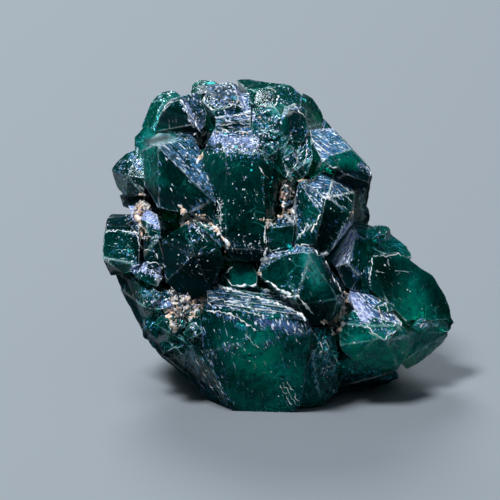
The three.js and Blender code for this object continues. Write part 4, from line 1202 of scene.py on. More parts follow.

# %% [markdown]
# Frost under a lens is a crowd of tiny flakes. Some are dark, most are blue, and the few
# white ones are painted glints of the window. Voronoi cells give each flake three random
# numbers: luck says whether it is there, more often where the zone is frosty. The others
# choose its tone. Three sizes are laid over each other, and one of them is drawn out along
# the lines.

# %% Dioptase: flakes of frost, with painted glints
FLAKE_DARK = (0.0, 0.015, 0.025, 1)
FLAKE_BLUE = (0.0, 0.07, 0.19, 1)
FLAKE_PALE = (0.04, 0.2, 0.47, 1)
# White flakes are painted glints of the window light.
FLAKE_GLINT_WHITE = (0.86, 0.92, 1.0, 1)
FLAKE_LAVENDER = (0.46, 0.5, 0.9, 1)
FLAKE_TURQUOISE = (0.0, 0.4, 0.45, 1)
FLAKE_TONES = ((0.2, FLAKE_DARK), (0.55, FLAKE_BLUE), (0.8, FLAKE_PALE), (0.9, FLAKE_GLINT_WHITE))
FLAKE_SHOWS = ((0.97, 0.0), (1.0, 1.0))
SMALL_PER_MM, LONG_PER_MM, LARGE_PER_MM = 9.0, 12.0, 3.6
SMALL_LUCK, LONG_LUCK, LARGE_LUCK = -0.1, -0.02, -0.36
FLAKE_STRETCH = 0.28
FLAKE_BEND = 0.9
TINT_LIFT, LAVENDER_LUCK = 0.25, 0.15
TO_TURQUOISE, TO_LAVENDER = -0.7, 0.5


def flakes(where, per_mm, more_luck):
    """A cell shows where luck + drift + zone + more_luck passes 1. Returns the cells'
    colours, where they show, and their tones."""
    cell = look.cells(look.bent(where, per_mm, FLAKE_BEND / per_mm), per_mm)
    luck, bright, hue = look.channels(cell)
    share = look.ramp(luck + drift + zone + more_luck, FLAKE_SHOWS)
    tone = look.ramp(bright + tinted * TINT_LIFT, FLAKE_TONES)
    return cell, share, look.mix(hue * LAVENDER_LUCK, tone, FLAKE_LAVENDER)


flake_place = look.add("ShaderNodeCombineXYZ", {0: run * FLAKE_STRETCH, 1: cut})
glint_cell, small_share, small_tone = flakes(mm, SMALL_PER_MM, SMALL_LUCK)
_, long_share, long_tone = flakes(flake_place, LONG_PER_MM, LONG_LUCK)
_, large_share, large_tone = flakes(mm, LARGE_PER_MM, LARGE_LUCK)
long_share = long_share * look.mark("combed")
flake_share = look.largest(small_share, large_share, long_share) * bare
flake_tone = look.mix(long_share, look.mix(small_share, large_tone, small_tone), long_tone)
flake_tone = look.mix(tinted * TO_TURQUOISE, flake_tone, FLAKE_TURQUOISE)
flake_tone = look.mix(tinted * TO_LAVENDER, flake_tone, FLAKE_LAVENDER)
print("nodes so far:", len(look.owner.node_tree.nodes))

# %% [markdown]
# Other pale marks are white: worn edges, crumbs in the seams, scratches on the crests of the
# fine lines, and specks of dust. Below the surface a net of thin healed cracks shows as teal
# threads in places. A wispy green painted glow stands for light coming through thin parts.

# %% Dioptase: worn lines, dust, net and painted glow
EDGE_WORN, SEAM_WORN = ((0.085, 1.0), (0.12, 0.0)), ((0.09, 1.0), (0.14, 0.0))
EDGE_FRAY, SEAM_FRAY = 0.14, 0.2
EDGE_PATCHES = ((0.42, 0.1), (0.55, 1.0))
SEAM_PATCHES = ((0.5, 0.0), (0.56, 0.9))
SCRATCHES = ((0.63, 0.0), (0.655, 1.0))
SCRATCH_PATCHES = ((0.46, 0.0), (0.56, 1.0))
SCRATCH_IN_ZONE = ((0.0, 0.4), (0.3, 1.0))
DUST_SHOWS = ((1.0, 0.0), (1.03, 0.8))
DUST_PER_MM, DUST_IN_ZONE, DUST_IN_MOTTLE = 12.0, 0.12, 0.06
NET_THREADS = ((0.006, 0.45), (0.02, 0.0))
NET_PATCHES = ((0.52, 0.0), (0.58, 1.0))
NET_PER_MM, NET_WAVES_PER_MM, NET_BEND, NET_PATCH_SIZE = 0.8, 1.2, 1.1, 1.6
GLOW_WISPS = ((0.4, 0.3), (0.6, 1.0))
GLOW_WISP_SIZE = 0.7

edge_share = look.ramp(edge + fine * EDGE_FRAY, EDGE_WORN) * look.mark("wear")
edge_share = edge_share * look.ramp(patchy, EDGE_PATCHES)
seam_share = look.ramp(seam + fine * SEAM_FRAY, SEAM_WORN)
seam_share = seam_share * look.ramp(mottle, SEAM_PATCHES)
scratch_share = look.ramp(streak, SCRATCHES) * look.ramp(patchy, SCRATCH_PATCHES)
scratch_share = scratch_share * look.ramp(zone, SCRATCH_IN_ZONE)
dust_luck = look.channels(look.cells(mm, DUST_PER_MM))[0]
dust_luck = dust_luck + zone * DUST_IN_ZONE + mottle * DUST_IN_MOTTLE
dust_share = look.ramp(dust_luck, DUST_SHOWS)
lines = look.largest(edge_share, seam_share, scratch_share, dust_share) * bare

net_cell = {"Vector": look.bent(mm, NET_WAVES_PER_MM, NET_BEND, detail=4), "Scale": NET_PER_MM}
net = look.add("ShaderNodeTexVoronoi", net_cell, feature="DISTANCE_TO_EDGE")
net_patches = look.ramp(look.noise(mm, NET_PATCH_SIZE, detail=2, roughness=0.5), NET_PATCHES)
net_share = look.ramp(net, NET_THREADS) * net_patches
pale = look.largest(flake_share, lines, net_share)
# Painted glow: the drawn glow strokes, broken into wisps by noise.
painted_glow_share = look.mark("glow") * look.ramp(look.noise(mm, GLOW_WISP_SIZE, detail=6, roughness=0.65), GLOW_WISPS)
print("nodes so far:", len(look.owner.node_tree.nodes))

# %% [markdown]
# The colour is built up from the inside out: clear green with dusty dark spots, then the
# painted glow, net and painted grey reflections, then flakes, then the white marks. Painted
# shade darkens it twice, under the frost and over it, where little light should come out.

# %% Dioptase: colour
CLEAR_TINT = (0.0, 0.75, 0.66, 1)
BODY_GREEN = (0.0, 0.015, 0.015, 1)
# The green of the painted glow.
PAINTED_GLOW_GREEN = (0.0, 0.34, 0.2, 1)
NET_TEAL = (0.12, 0.3, 0.3, 1)
# The grey of the painted reflections.
PAINTED_REFLECTION_GREY = (0.05, 0.085, 0.09, 1)
# Painted shade: the dark colours laid under and over the frost where the front lies in shadow.
PAINTED_SHADE_BODY = (0.0, 0.012, 0.012, 1)
PAINTED_SHADE_FROST = (0.0, 0.02, 0.025, 1)
WEAR_WHITE = (0.95, 0.95, 0.93, 1)
DUSTY = ((0.48, 0.0), (0.62, 1.0))
PAINTED_SHADE_UNDER = ((0.0, 0.0), (0.45, 1.0))
PAINTED_SHADE_OVER = ((0.0, 0.0), (1.0, 0.7))

dusty = look.ramp(fine, DUSTY)
body = look.mix(dusty, CLEAR_TINT, BODY_GREEN)
body = look.mix(painted_glow_share, body, PAINTED_GLOW_GREEN)
body = look.mix(net_share, body, NET_TEAL)
body = look.mix(painted_reflection_share, body, PAINTED_REFLECTION_GREY)
# Painted shade under the frost.
body = look.mix(look.ramp(painted_shade, PAINTED_SHADE_UNDER), body, PAINTED_SHADE_BODY)
colour = look.mix(flake_share, body, flake_tone)
colour = look.mix(lines, colour, WEAR_WHITE)
# Painted shade over the frost.
colour = look.mix(look.ramp(painted_shade, PAINTED_SHADE_OVER), colour, PAINTED_SHADE_FROST)
print("nodes so far:", len(look.owner.node_tree.nodes))

# %% [markdown]
# Light goes through where nothing pale, dusty, painted with glow or with shade lies in its
# way. Bare faces are nearly polished, frost is dull, and patches of painted reflection and
# painted shade are duller still. Relief comes from the same masks, and each small flake also
# leans its own way, so that some of them glint.

# %% Dioptase: the shader
DIOPTASE_IOR = 1.67
SPECULAR_LEVEL = 0.3
SOAK_PER_METRE = 2100
SOAK_COLOUR = (0.0, 0.85, 0.78, 1)
GLOSS_TEAL = (0.0, 0.12, 0.14, 1)
GLOSS_BLUE = (0.12, 0.42, 0.85, 1)
GLOSS_IN_PAINTED_SHADE = (0.01, 0.04, 0.045, 1)
REFLECTION_PATCH_ROUGH = (0.7, 0.7, 0.7, 1)
ROUGH_IN_PAINTED_SHADE = (1.0, 1.0, 1.0, 1)
GLOW_OPEN, DUST_DIMS = ((0.0, 0.98), (1.0, 0.45)), 0.2
OPEN_IN_PAINTED_SHADE = ((0.35, 1.0), (0.7, 0.0))
DULL_IN_PAINTED_SHADE = ((0.3, 0.0), (0.6, 1.0))
POLISH, POLISH_MOTTLE = ((0.1, 0.05), (0.35, 0.15), (1.0, 0.4)), 0.3
RELIEF_DEPTH = 0.0001
RELIEF_IN_ZONE = ((0.0, 0.35), (0.25, 0.9))
MOTTLE_RELIEF, FINE_RELIEF, STREAK_RELIEF, LINE_RELIEF = 0.4, 0.35, 0.25, 0.4
CELL_MIDDLE = (0.5, 0.5, 0.5)
GLINT_LEAN = ((0.0, 0.05), (0.8, 0.55))

open_share = look.ramp(painted_glow_share, GLOW_OPEN) - dusty * DUST_DIMS
# Painted shade also stops light going through, and darkens and dulls the reflections.
lit_share = look.ramp(painted_shade, OPEN_IN_PAINTED_SHADE)
clear = (1.0 - pale) * open_share * lit_share * bare

rough = look.ramp(pale + mottle * POLISH_MOTTLE, POLISH)
rough = look.mix(painted_reflection_share, rough, REFLECTION_PATCH_ROUGH)
rough = look.mix(look.ramp(painted_shade, DULL_IN_PAINTED_SHADE), rough, ROUGH_IN_PAINTED_SHADE)
gloss = look.mix(painted_shade, look.mix(pale, GLOSS_TEAL, GLOSS_BLUE), GLOSS_IN_PAINTED_SHADE)

height = mottle * MOTTLE_RELIEF + fine * FINE_RELIEF + streak * STREAK_RELIEF + lines * LINE_RELIEF
relief = look.ramp(zone, RELIEF_IN_ZONE)
bump = look.add("ShaderNodeBump", {"Height": height, "Strength": relief, "Distance": RELIEF_DEPTH})
glint = look.vector("SUBTRACT", {0: glint_cell, 1: CELL_MIDDLE})
glint = look.vector("SCALE", {0: glint, "Scale": look.ramp(zone, GLINT_LEAN)})
normal = look.vector("NORMALIZE", {0: look.vector("ADD", {0: bump, 1: glint})})

soak = look.add("ShaderNodeVolumeAbsorption", {"Color": SOAK_COLOUR, "Density": SOAK_PER_METRE})
look.surface({
    "Base Color": colour, "Roughness": rough, "Normal": normal, "IOR": DIOPTASE_IOR,
    "Transmission Weight": clear, "Specular IOR Level": SPECULAR_LEVEL, "Specular Tint": gloss,
}, Volume=soak)
crystal_piece.data.materials.append(look.owner)
print("dioptase shader nodes:", len(look.owner.node_tree.nodes))

# %% [markdown]
# Thin white cracks and worn ledges run over the front. Each is drawn as a line of a few
# points, and then laid on the surface by following the line of sight to the nearest crystal.

# %% Find the front surface
TRY_SPOT = (640, 560)


def on_the_front(flat):
    """The worn surface behind each point (x, y). Within one crystal the line of sight runs
    from z = max (d - nx x - ny y) / nz over the facets that face away, to the least of the
    same over those that face the viewer. The crystal seen reaches farthest forward."""
    near, owner = np.full(len(flat), -np.inf), np.zeros(len(flat), int)
    for number, facets in enumerate(crystals.values()):
        rise = np.where(np.abs(facets[:, 2]) > ON_PLANE, facets[:, 2], ON_PLANE)
        reach = (facets[:, 3] - flat @ facets[:, :2].T) / rise
        front = np.where(rise > 0, reach, np.inf).min(1)
        rear = np.where(rise < 0, reach, -np.inf).max(1)
        seen_first = (front > rear) & (front > near)
        near[seen_first], owner[seen_first] = front[seen_first], number
    hit = np.isfinite(near)
    points, owner = np.column_stack([flat, near])[hit], owner[hit]
    for number, (name, seed) in enumerate(skin_seeds.items()):
        mine = owner == number
        points[mine] = worn(points[mine], shapes[name], seed)
    return points


print("front of the centre, mm:", on_the_front(drawn([TRY_SPOT])).round(2))

# %% [markdown]
# Each crack is given by a weight, which makes it wider or thinner, and by the points that
# its line runs through, in the units of the drawing.

# %% Cracks and worn ledges
CRACKS = [
    (1.7, [(535, 905), (600, 925), (660, 938), (720, 960), (770, 975), (830, 1000), (872, 1020),
           (885, 1040)]),
    (0.6, [(500, 950), (560, 962), (640, 985), (700, 1000), (760, 1003)]),
    (0.5, [(495, 975), (570, 985), (650, 1005), (720, 1022)]),
    (1.1, [(490, 1005), (545, 1005), (600, 1022), (650, 1052), (685, 1080)]),
    (1.6, [(610, 905), (680, 905), (740, 925), (800, 948), (850, 948), (885, 985), (915, 1018)]),
    (1.5, [(690, 850), (702, 880), (745, 892), (770, 915), (820, 942)]),
    (1.1, [(735, 762), (712, 800), (694, 850)]), (0.6, [(722, 690), (729, 745), (762, 790)]),
    (0.6, [(690, 815), (692, 870)]), (1.8, [(548, 797), (575, 800), (606, 806)]),
    (0.6, [(610, 812), (560, 860), (520, 900)]), (0.6, [(560, 870), (600, 905), (650, 900)]),
    (0.8, [(818, 762), (870, 740), (912, 752), (950, 790), (985, 835)]), (0.6, [(770, 772), (818, 765)]),
    (0.7, [(985, 860), (1015, 900), (1040, 960), (1035, 1000)]),
    (0.9, [(1140, 785), (1200, 787), (1260, 777), (1310, 800)]),
    (0.8, [(1150, 792), (1142, 850), (1140, 885)]), (0.5, [(1160, 850), (1200, 852)]),
    (0.6, [(1245, 846), (1302, 852)]), (0.5, [(1215, 800), (1222, 830)]),
    (1.0, [(730, 662), (788, 622), (825, 602), (838, 622)]), (0.7, [(725, 740), (722, 690), (735, 668)]),
    (0.9, [(945, 560), (953, 610), (925, 655), (905, 695)]), (0.6, [(900, 640), (880, 690), (850, 720)]),
    (0.9, [(848, 482), (900, 492), (930, 460), (985, 430), (1012, 442)]),
    (0.8, [(960, 540), (1000, 578), (1052, 602)]), (0.6, [(985, 505), (1040, 545), (1078, 575)]),
    (0.5, [(960, 480), (1020, 500), (1070, 540)]), (0.6, [(1076, 610), (1060, 655), (1030, 720)]),
    (0.8, [(462, 655), (500, 670), (540, 705), (582, 745)]), (0.6, [(440, 640), (470, 700), (500, 730)]),
    (0.8, [(85, 692), (130, 686), (210, 692), (240, 710), (275, 712)]),
    (0.5, [(210, 690), (225, 740), (240, 770)]), (0.5, [(245, 760), (285, 770), (300, 800)]),
    (0.6, [(240, 810), (300, 815), (320, 850)]), (0.8, [(538, 570), (548, 620), (545, 660)]),
    (0.7, [(488, 112), (478, 178), (510, 205), (600, 182), (640, 200)]),
    (0.8, [(520, 237), (600, 232), (640, 226), (682, 242)]), (0.6, [(530, 268), (600, 262), (668, 262)]),
    (0.9, [(530, 292), (600, 292), (662, 290)]),
    (0.8, [(735, 104), (762, 116), (776, 140), (772, 168), (758, 186)]),
    (0.5, [(688, 184), (730, 188), (758, 184)]), (0.7, [(386, 160), (432, 232), (468, 300)]),
    (0.6, [(310, 212), (330, 180), (386, 158)]),
    (0.6, [(1050, 922), (1058, 980), (1100, 1030), (1150, 1090), (1200, 1122)]),
    (0.6, [(1170, 990), (1200, 975), (1215, 1010), (1190, 1040), (1170, 990)]),
    (0.7, [(1200, 1120), (1240, 1060), (1245, 1030)]), (0.8, [(1245, 1042), (1282, 1075), (1308, 1105)]),
    (0.6, [(1340, 1068), (1400, 1046), (1440, 1052)]),
    (0.7, [(905, 1070), (930, 1110), (950, 1150), (940, 1182)]), (0.7, [(985, 1075), (1005, 1110)]),
    (0.5, [(960, 1120), (990, 1160), (1010, 1210)]), (0.4, [(795, 1290), (822, 1335), (845, 1380)]),
    (0.4, [(812, 1285), (838, 1330), (856, 1365)]), (0.4, [(782, 1300), (806, 1340), (826, 1380)]),
    (0.4, [(640, 1092), (672, 1130), (700, 1150)]), (0.4, [(490, 1240), (560, 1330), (600, 1380)]),
    (0.4, [(440, 1180), (500, 1290), (540, 1350)]), (0.5, [(700, 435), (720, 465), (740, 480)]),
    (0.5, [(885, 300), (892, 360), (880, 420)]), (0.5, [(780, 240), (800, 205), (850, 190), (885, 240)]),
    (0.5, [(860, 350), (850, 420), (800, 480)]), (0.6, [(905, 292), (960, 280), (1010, 286), (1060, 350)]),
    (0.4, [(910, 320), (980, 350), (1040, 372)]), (0.4, [(930, 305), (1000, 335), (1050, 365)]),
    (0.5, [(1100, 425), (1145, 440), (1150, 470)]), (0.9, [(1068, 684), (1036, 735), (1002, 792)]),
    (0.7, [(1080, 690), (1052, 742), (1014, 800)]), (0.6, [(1088, 704), (1064, 748), (1034, 792)]),
    (0.6, [(1074, 680), (1044, 730), (1012, 778)]), (0.5, [(1058, 690), (1022, 744), (994, 784)]),
]
print(len(CRACKS), "cracks")

# %% [markdown]
# Slivers of matrix in the seams are given the same way, only several times as thick.

# %% Slivers of matrix
SLIVERS = [
    (3.0, [(448, 300), (462, 326), (474, 352)]), (2.6, [(500, 296), (490, 330), (482, 352)]),
    (2.6, [(474, 356), (470, 380), (462, 400)]), (2.2, [(462, 400), (452, 424)]),
    (4.5, [(846, 480), (832, 520), (812, 545), (800, 562)]), (3.0, [(800, 562), (792, 590), (800, 604)]),
    (4.0, [(834, 604), (796, 620), (762, 645), (730, 668)]), (2.6, [(850, 484), (880, 490), (905, 488)]),
    (3.6, [(388, 588), (398, 612), (416, 640)]), (3.2, [(410, 650), (440, 636), (478, 634), (505, 650)]),
    (3.4, [(505, 655), (528, 680), (546, 706)]), (2.4, [(546, 706), (562, 728), (584, 746)]),
    (3.4, [(486, 292), (470, 316), (458, 338)]), (2.6, [(225, 546), (258, 548)]),
    (4.0, [(205, 596), (218, 640), (226, 684)]), (2.6, [(226, 684), (236, 716)]),
    (4.2, [(340, 1010), (352, 1050), (368, 1080)]), (3.0, [(420, 1046), (440, 1016), (456, 992)]),
    (3.0, [(1040, 932), (1048, 968), (1040, 1000)]), (3.0, [(990, 1100), (1016, 1078), (1040, 1046)]),
    (2.6, [(945, 1052), (980, 1066), (1010, 1072)]), (2.4, [(700, 848), (706, 878)]),
    (2.4, [(545, 772), (572, 776)]), (2.4, [(964, 546), (980, 560)]), (2.6, [(950, 775), (975, 782)]),
]
print(len(SLIVERS), "slivers")

# %% [markdown]
# Each line becomes a thin tube. Its width wanders, down to almost nothing in places, and the
# line wavers a little from side to side.

# %% From lines to tubes
LINE_STEP = 0.07
LINE_SHAKE = 0.05
LINE_WAVE = 0.5
TUBE_SIDES = 5
TUBE_RADIUS, TUBE_SWELL, TUBE_FLATNESS = 0.044, 0.032, 0.5
THINNEST, THICKEST = 0.006, 0.09
SHORTEST = 4
SEEDS_PER_LINE = 3


def laid_lines(corners, seed, leap):
    """Lays a wavering line on the front, and breaks it wherever the surface leaps back."""
    corners = drawn(corners)
    spans = np.linalg.norm(np.diff(corners, axis=0), axis=1)
    reached = np.append(0, np.cumsum(spans))
    s = np.arange(0, reached[-1], LINE_STEP)
    flat = np.column_stack([np.interp(s, reached, corners[:, k]) for k in range(2)])
    waver = [wander(np.column_stack([flat, s]), LINE_WAVE, seed + k) for k in range(2)]
    line = on_the_front(flat + LINE_SHAKE * np.column_stack(waver))
    leaps = np.flatnonzero(np.linalg.norm(np.diff(line, axis=0), axis=1) > leap)
    return [part for part in np.split(line, leaps + 1) if len(part) >= SHORTEST]


def tube(line, weight, seed):
    """Point(s, turn) = line(s) + radius(s) * (cos(turn) * side + flatness * sin(turn) * up),
    where the radius wanders with s. Each end is closed by a fan."""
    tangent = np.gradient(line, axis=0)
    side = np.cross(tangent, [0, 0, 1])
    side /= np.linalg.norm(side, axis=1)[:, None] + ON_PLANE
    up = np.cross(side, tangent)
    up /= np.linalg.norm(up, axis=1)[:, None] + ON_PLANE
    swell = TUBE_RADIUS + TUBE_SWELL * wander(line, LINE_WAVE, seed)
    radius = weight * np.clip(swell, THINNEST, THICKEST)
    turn = np.arange(TUBE_SIDES) * 2 * np.pi / TUBE_SIDES
    ring = np.cos(turn)[:, None] * side[:, None] + TUBE_FLATNESS * np.sin(turn)[:, None] * up[:, None]
    points = line[:, None] + radius[:, None, None] * ring
    index, _, bands = banded(len(line), TUBE_SIDES)
    fans = np.array([[0, k + 1, k + 2] for k in range(TUBE_SIDES - 2)])
    return points.reshape(-1, 3), np.vstack([bands, index[0][fans][:, ::-1], index[-1][fans]])


def tubes(table, first_seed, leap):
    """The tubes of a whole list, each line with seeds of its own."""
    made = []
    for number, (weight, corners) in enumerate(table):
        seed = first_seed + SEEDS_PER_LINE * number
        made += [tube(line, weight, seed + SEEDS_PER_LINE - 1) for line in laid_lines(corners, seed, leap)]
    return stacked(made)


# %% [markdown]
# The cracks become one piece, worn white with greyer stretches.

# %% The cracks as a piece
CRACK_SEED, CRACK_LEAP = 3000, 0.25
CRACK_GREY = (0.4, 0.52, 0.56, 1)
CRACK_TONES = ((0.36, CRACK_GREY), (0.52, WEAR_WHITE))
CRACK_TONE_SIZE, CRACK_ROUGHNESS = 0.5, 0.45

crack_points, crack_triangles = tubes(CRACKS, CRACK_SEED, CRACK_LEAP)
crack_piece = mesh_object("pale_cracks", placed(crack_points), crack_triangles)
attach(crack_piece, "root")
look = Look(bpy.data.materials.new("worn white"))
crack_tone = look.ramp(look.noise(look.place_in_mm(), CRACK_TONE_SIZE), CRACK_TONES)
look.surface({"Base Color": crack_tone, "Roughness": CRACK_ROUGHNESS})
crack_piece.data.materials.append(look.owner)
print("cracks:", len(crack_triangles), "triangles")

# %% [markdown]
# Crumbs lie in the seams: whitish and tan grains of matrix, and a few of a turquoise copper
# mineral. Along the seams of the front they are drawn as strokes again, each with a width, a
# count and a kind. Everywhere else they are strewn at random over the points of the surface
# that lie in a seam.

# %% Where the crumbs lie
WHITE, TAN, TURQUOISE = 0.0, 0.5, 1.0
CRUMBS = [
    ((388, 585), (412, 650), 8, 34, TAN), ((412, 650), (480, 632), 10, 40, TAN),
    ((480, 632), (545, 700), 10, 40, TAN), ((545, 700), (580, 745), 6, 14, WHITE),
    ((455, 330), (480, 290), 8, 24, TAN), ((835, 490), (800, 560), 12, 50, TAN),
    ((800, 560), (795, 610), 8, 16, WHITE), ((735, 660), (825, 605), 6, 30, TAN),
    ((180, 590), (240, 690), 16, 50, WHITE), ((230, 545), (250, 550), 8, 14, TAN),
    ((225, 660), (260, 720), 10, 30, TAN), ((340, 950), (420, 980), 16, 50, WHITE),
    ((330, 1000), (380, 1060), 16, 50, TAN), ((380, 1070), (440, 1010), 12, 30, WHITE),
    ((420, 1000), (460, 1030), 10, 24, TAN), ((200, 840), (300, 850), 12, 24, WHITE),
    ((1000, 1090), (1040, 1050), 8, 26, TAN), ((1030, 960), (1050, 1010), 10, 26, WHITE),
    ((950, 1050), (1010, 1075), 8, 24, TAN), ((1180, 1010), (1200, 1040), 8, 14, TAN),
    ((985, 545), (965, 560), 5, 8, WHITE), ((850, 485), (870, 490), 5, 8, TAN),
    ((1075, 610), (1060, 650), 6, 16, TAN), ((620, 295), (660, 300), 6, 12, TAN),
    ((530, 570), (545, 700), 7, 34, WHITE), ((815, 745), (828, 765), 7, 50, TURQUOISE),
    ((590, 730), (740, 780), 40, 70, WHITE), ((1030, 1015), (1035, 1035), 7, 40, TURQUOISE),
    ((560, 298), (568, 304), 6, 8, TURQUOISE), ((610, 355), (615, 362), 6, 8, TURQUOISE),
    ((750, 310), (765, 325), 8, 10, TURQUOISE), ((595, 150), (605, 160), 8, 10, TURQUOISE),
    ((484, 90), (520, 92), 4, 36, TURQUOISE), ((880, 150), (890, 165), 6, 8, TURQUOISE),
    ((620, 1055), (640, 1068), 7, 12, TURQUOISE), ((640, 430), (680, 440), 20, 6, TURQUOISE),
    ((730, 480), (760, 520), 20, 10, TURQUOISE), ((995, 1160), (1010, 1200), 14, 16, TURQUOISE),
    ((940, 1060), (960, 1180), 20, 16, TURQUOISE), ((1030, 1220), (1080, 1260), 20, 14, TURQUOISE),
    ((160, 740), (200, 780), 16, 10, TURQUOISE), ((480, 680), (490, 690), 5, 5, TURQUOISE),
    ((540, 740), (550, 750), 5, 5, TURQUOISE), ((700, 260), (880, 420), 60, 60, WHITE),
    ((230, 930), (450, 1080), 60, 70, WHITE), ((500, 110), (640, 200), 30, 40, WHITE),
    ((1060, 950), (1220, 1030), 30, 40, WHITE), ((860, 500), (1060, 620), 40, 30, WHITE),
    ((900, 1080), (1000, 1300), 40, 40, WHITE), ((640, 480), (640, 640), 90, 40, WHITE),
    ((420, 760), (470, 860), 70, 40, WHITE), ((700, 640), (760, 660), 10, 20, TAN),
    ((545, 560), (548, 690), 10, 70, WHITE), ((1180, 830), (1420, 1020), 60, 14, WHITE),
    ((600, 1100), (850, 1350), 90, 40, WHITE), ((100, 640), (230, 800), 30, 20, WHITE),
]
STREWN = 500
IN_SEAM = 0.08
CRUMB_SEED = 77

rng = np.random.default_rng(CRUMB_SEED)
middles, kinds = [], []
for start, end, width, count, kind in CRUMBS:
    share = rng.uniform(0, 1, (count, 1))
    spots = np.array([start]) * (1 - share) + np.array([end]) * share
    spots = on_the_front(drawn(spots + rng.normal(0, width / 2, (count, 2))))
    middles.append(spots)
    kinds.append(np.full(len(spots), kind))
middles.append(view_points[rng.choice(np.flatnonzero(seam_gap < IN_SEAM), STREWN, replace=False)])
kinds.append(rng.choice([WHITE, WHITE, TAN, TURQUOISE], STREWN))
middles, kinds = np.vstack(middles), np.concatenate(kinds)
print("crumbs:", len(middles))

# %% [markdown]
# A crumb is a ball of twenty triangles with every point pushed in or out, and small ones are
# far more common than large ones. Crumbs that would stick out of the frame's box are left
# out. Slivers join the crumbs as one piece, since both are the same stone.

# %% Crumbs and slivers as a piece
GRAIN_LOW, GRAIN_HIGH = 0.025, 0.11
WHITE_SIZE = 0.7
WOBBLE = (0.55, 1.3)
RING = 5
RING_RADIUS, RING_HEIGHT = np.sqrt(0.8), np.sqrt(0.2)
GRAIN_POINTS = 2 * RING + 2
CLEAR_OF_BOX = 1.5 * GRAIN_HIGH
SLIVER_SEED, SLIVER_LEAP = 5000, 1.5
KIND_SEED, KIND_SIZE, KIND_SPLIT = 5900, 0.5, 0.1
SHADE_SEED, SHADE_SIZE, SHADE_MIDDLE, SHADE_SWING = 5903, 0.15, 0.75, 0.5


def grains(middles, sizes, rng):
    """Small uneven balls: point(a, b) = middle + size * wobble * unit(a, b), on two rings of
    five points between two poles."""
    k = np.arange(RING)
    turns = k * 2 * np.pi / RING
    rings = []
    for turn, height in ((turns, RING_HEIGHT), (turns + np.pi / RING, -RING_HEIGHT)):
        flat = RING_RADIUS * np.cos(turn), RING_RADIUS * np.sin(turn)
        rings.append(np.column_stack([*flat, np.full(RING, height)]))
    unit = np.vstack([[0, 0, 1], *rings, [0, 0, -1]])
    top, bottom = 0 * k, 0 * k + GRAIN_POINTS - 1
    upper, lower = 1 + k, 1 + RING + k
    next_upper, next_lower = 1 + (k + 1) % RING, 1 + RING + (k + 1) % RING
    corners = [(top, upper, next_upper), (upper, lower, next_upper),
               (lower, next_lower, next_upper), (next_lower, lower, bottom)]
    faces = np.vstack([np.column_stack(three) for three in corners])
    wobble = rng.uniform(*WOBBLE, (len(middles), GRAIN_POINTS, 1))
    points = middles[:, None] + sizes[:, None, None] * wobble * unit
    triangles = faces + GRAIN_POINTS * np.arange(len(middles))[:, None, None]
    return points.reshape(-1, 3), triangles.reshape(-1, 3)


sizes = GRAIN_LOW + (GRAIN_HIGH - GRAIN_LOW) * rng.uniform(0, 1, len(middles)) ** 3
sizes *= np.where(kinds == WHITE, WHITE_SIZE, 1.0)
to_box = np.minimum(placed(middles) - low, high - placed(middles)).min(1) / MM
inside = to_box > CLEAR_OF_BOX
slivers = tubes(SLIVERS, SLIVER_SEED, SLIVER_LEAP)
crumb_points, crumb_triangles = stacked([grains(middles[inside], sizes[inside], rng), slivers])
sliver_kinds = np.where(wander(slivers[0], KIND_SIZE, KIND_SEED) > KIND_SPLIT, WHITE, TAN)
sliver_shades = SHADE_MIDDLE + SHADE_SWING * wander(slivers[0], SHADE_SIZE, SHADE_SEED)
kinds = np.append(np.repeat(kinds[inside], GRAIN_POINTS), sliver_kinds)
shades = np.append(np.repeat(rng.uniform(0, 1, inside.sum()), GRAIN_POINTS), sliver_shades)
crumb_piece = mesh_object("crumbs", placed(crumb_points), crumb_triangles)
store(crumb_piece.data, "kind", kinds, "POINT")
store(crumb_piece.data, "shade", shades, "POINT")
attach(crumb_piece, "root")
print("crumbs:", inside.sum(), "grains,", len(crumb_triangles), "triangles")

# %% [markdown]
# Each kind of crumb has its own colour, and some crumbs are darker than others.

# %% The look of the crumbs
CRUMB_WHITE = (0.8, 0.84, 0.88, 1)
CRUMB_TAN = (0.8, 0.58, 0.44, 1)
CRUMB_TURQUOISE = (0.0, 0.75, 0.75, 1)
KIND_TONES = ((0.0, CRUMB_WHITE), (0.25, CRUMB_TAN), (0.75, CRUMB_TURQUOISE))
CRUMB_SHADES = ((0.0, 0.35), (0.7, 1.0))
CRUMB_ROUGHNESS = 0.35

look = Look(bpy.data.materials.new("crumbs"))
kind_tone = look.ramp(look.mark("kind"), KIND_TONES)
kind_tone.socket.node.color_ramp.interpolation = "CONSTANT"
crumb_shade = look.ramp(look.mark("shade"), CRUMB_SHADES)
crumb_tone = look.mix(1.0, kind_tone, crumb_shade, blend_type="MULTIPLY")
look.surface({"Base Color": crumb_tone, "Roughness": CRUMB_ROUGHNESS})
crumb_piece.data.materials.append(look.owner)
print("crumb shader nodes:", len(look.owner.node_tree.nodes))

# %% [markdown]
# The matrix is a crumbly tan stone caught in the seams. A sphere's two angles make the grid
# of a lump, and noise on its radius makes it crumbly.

# %% A lump of stone
STONE_RINGS = 64
CRUMB_HEIGHT = 0.2
CRUMB_SIZES = {1.2: 0.5, 0.5: 0.5, 0.24: 0.45}


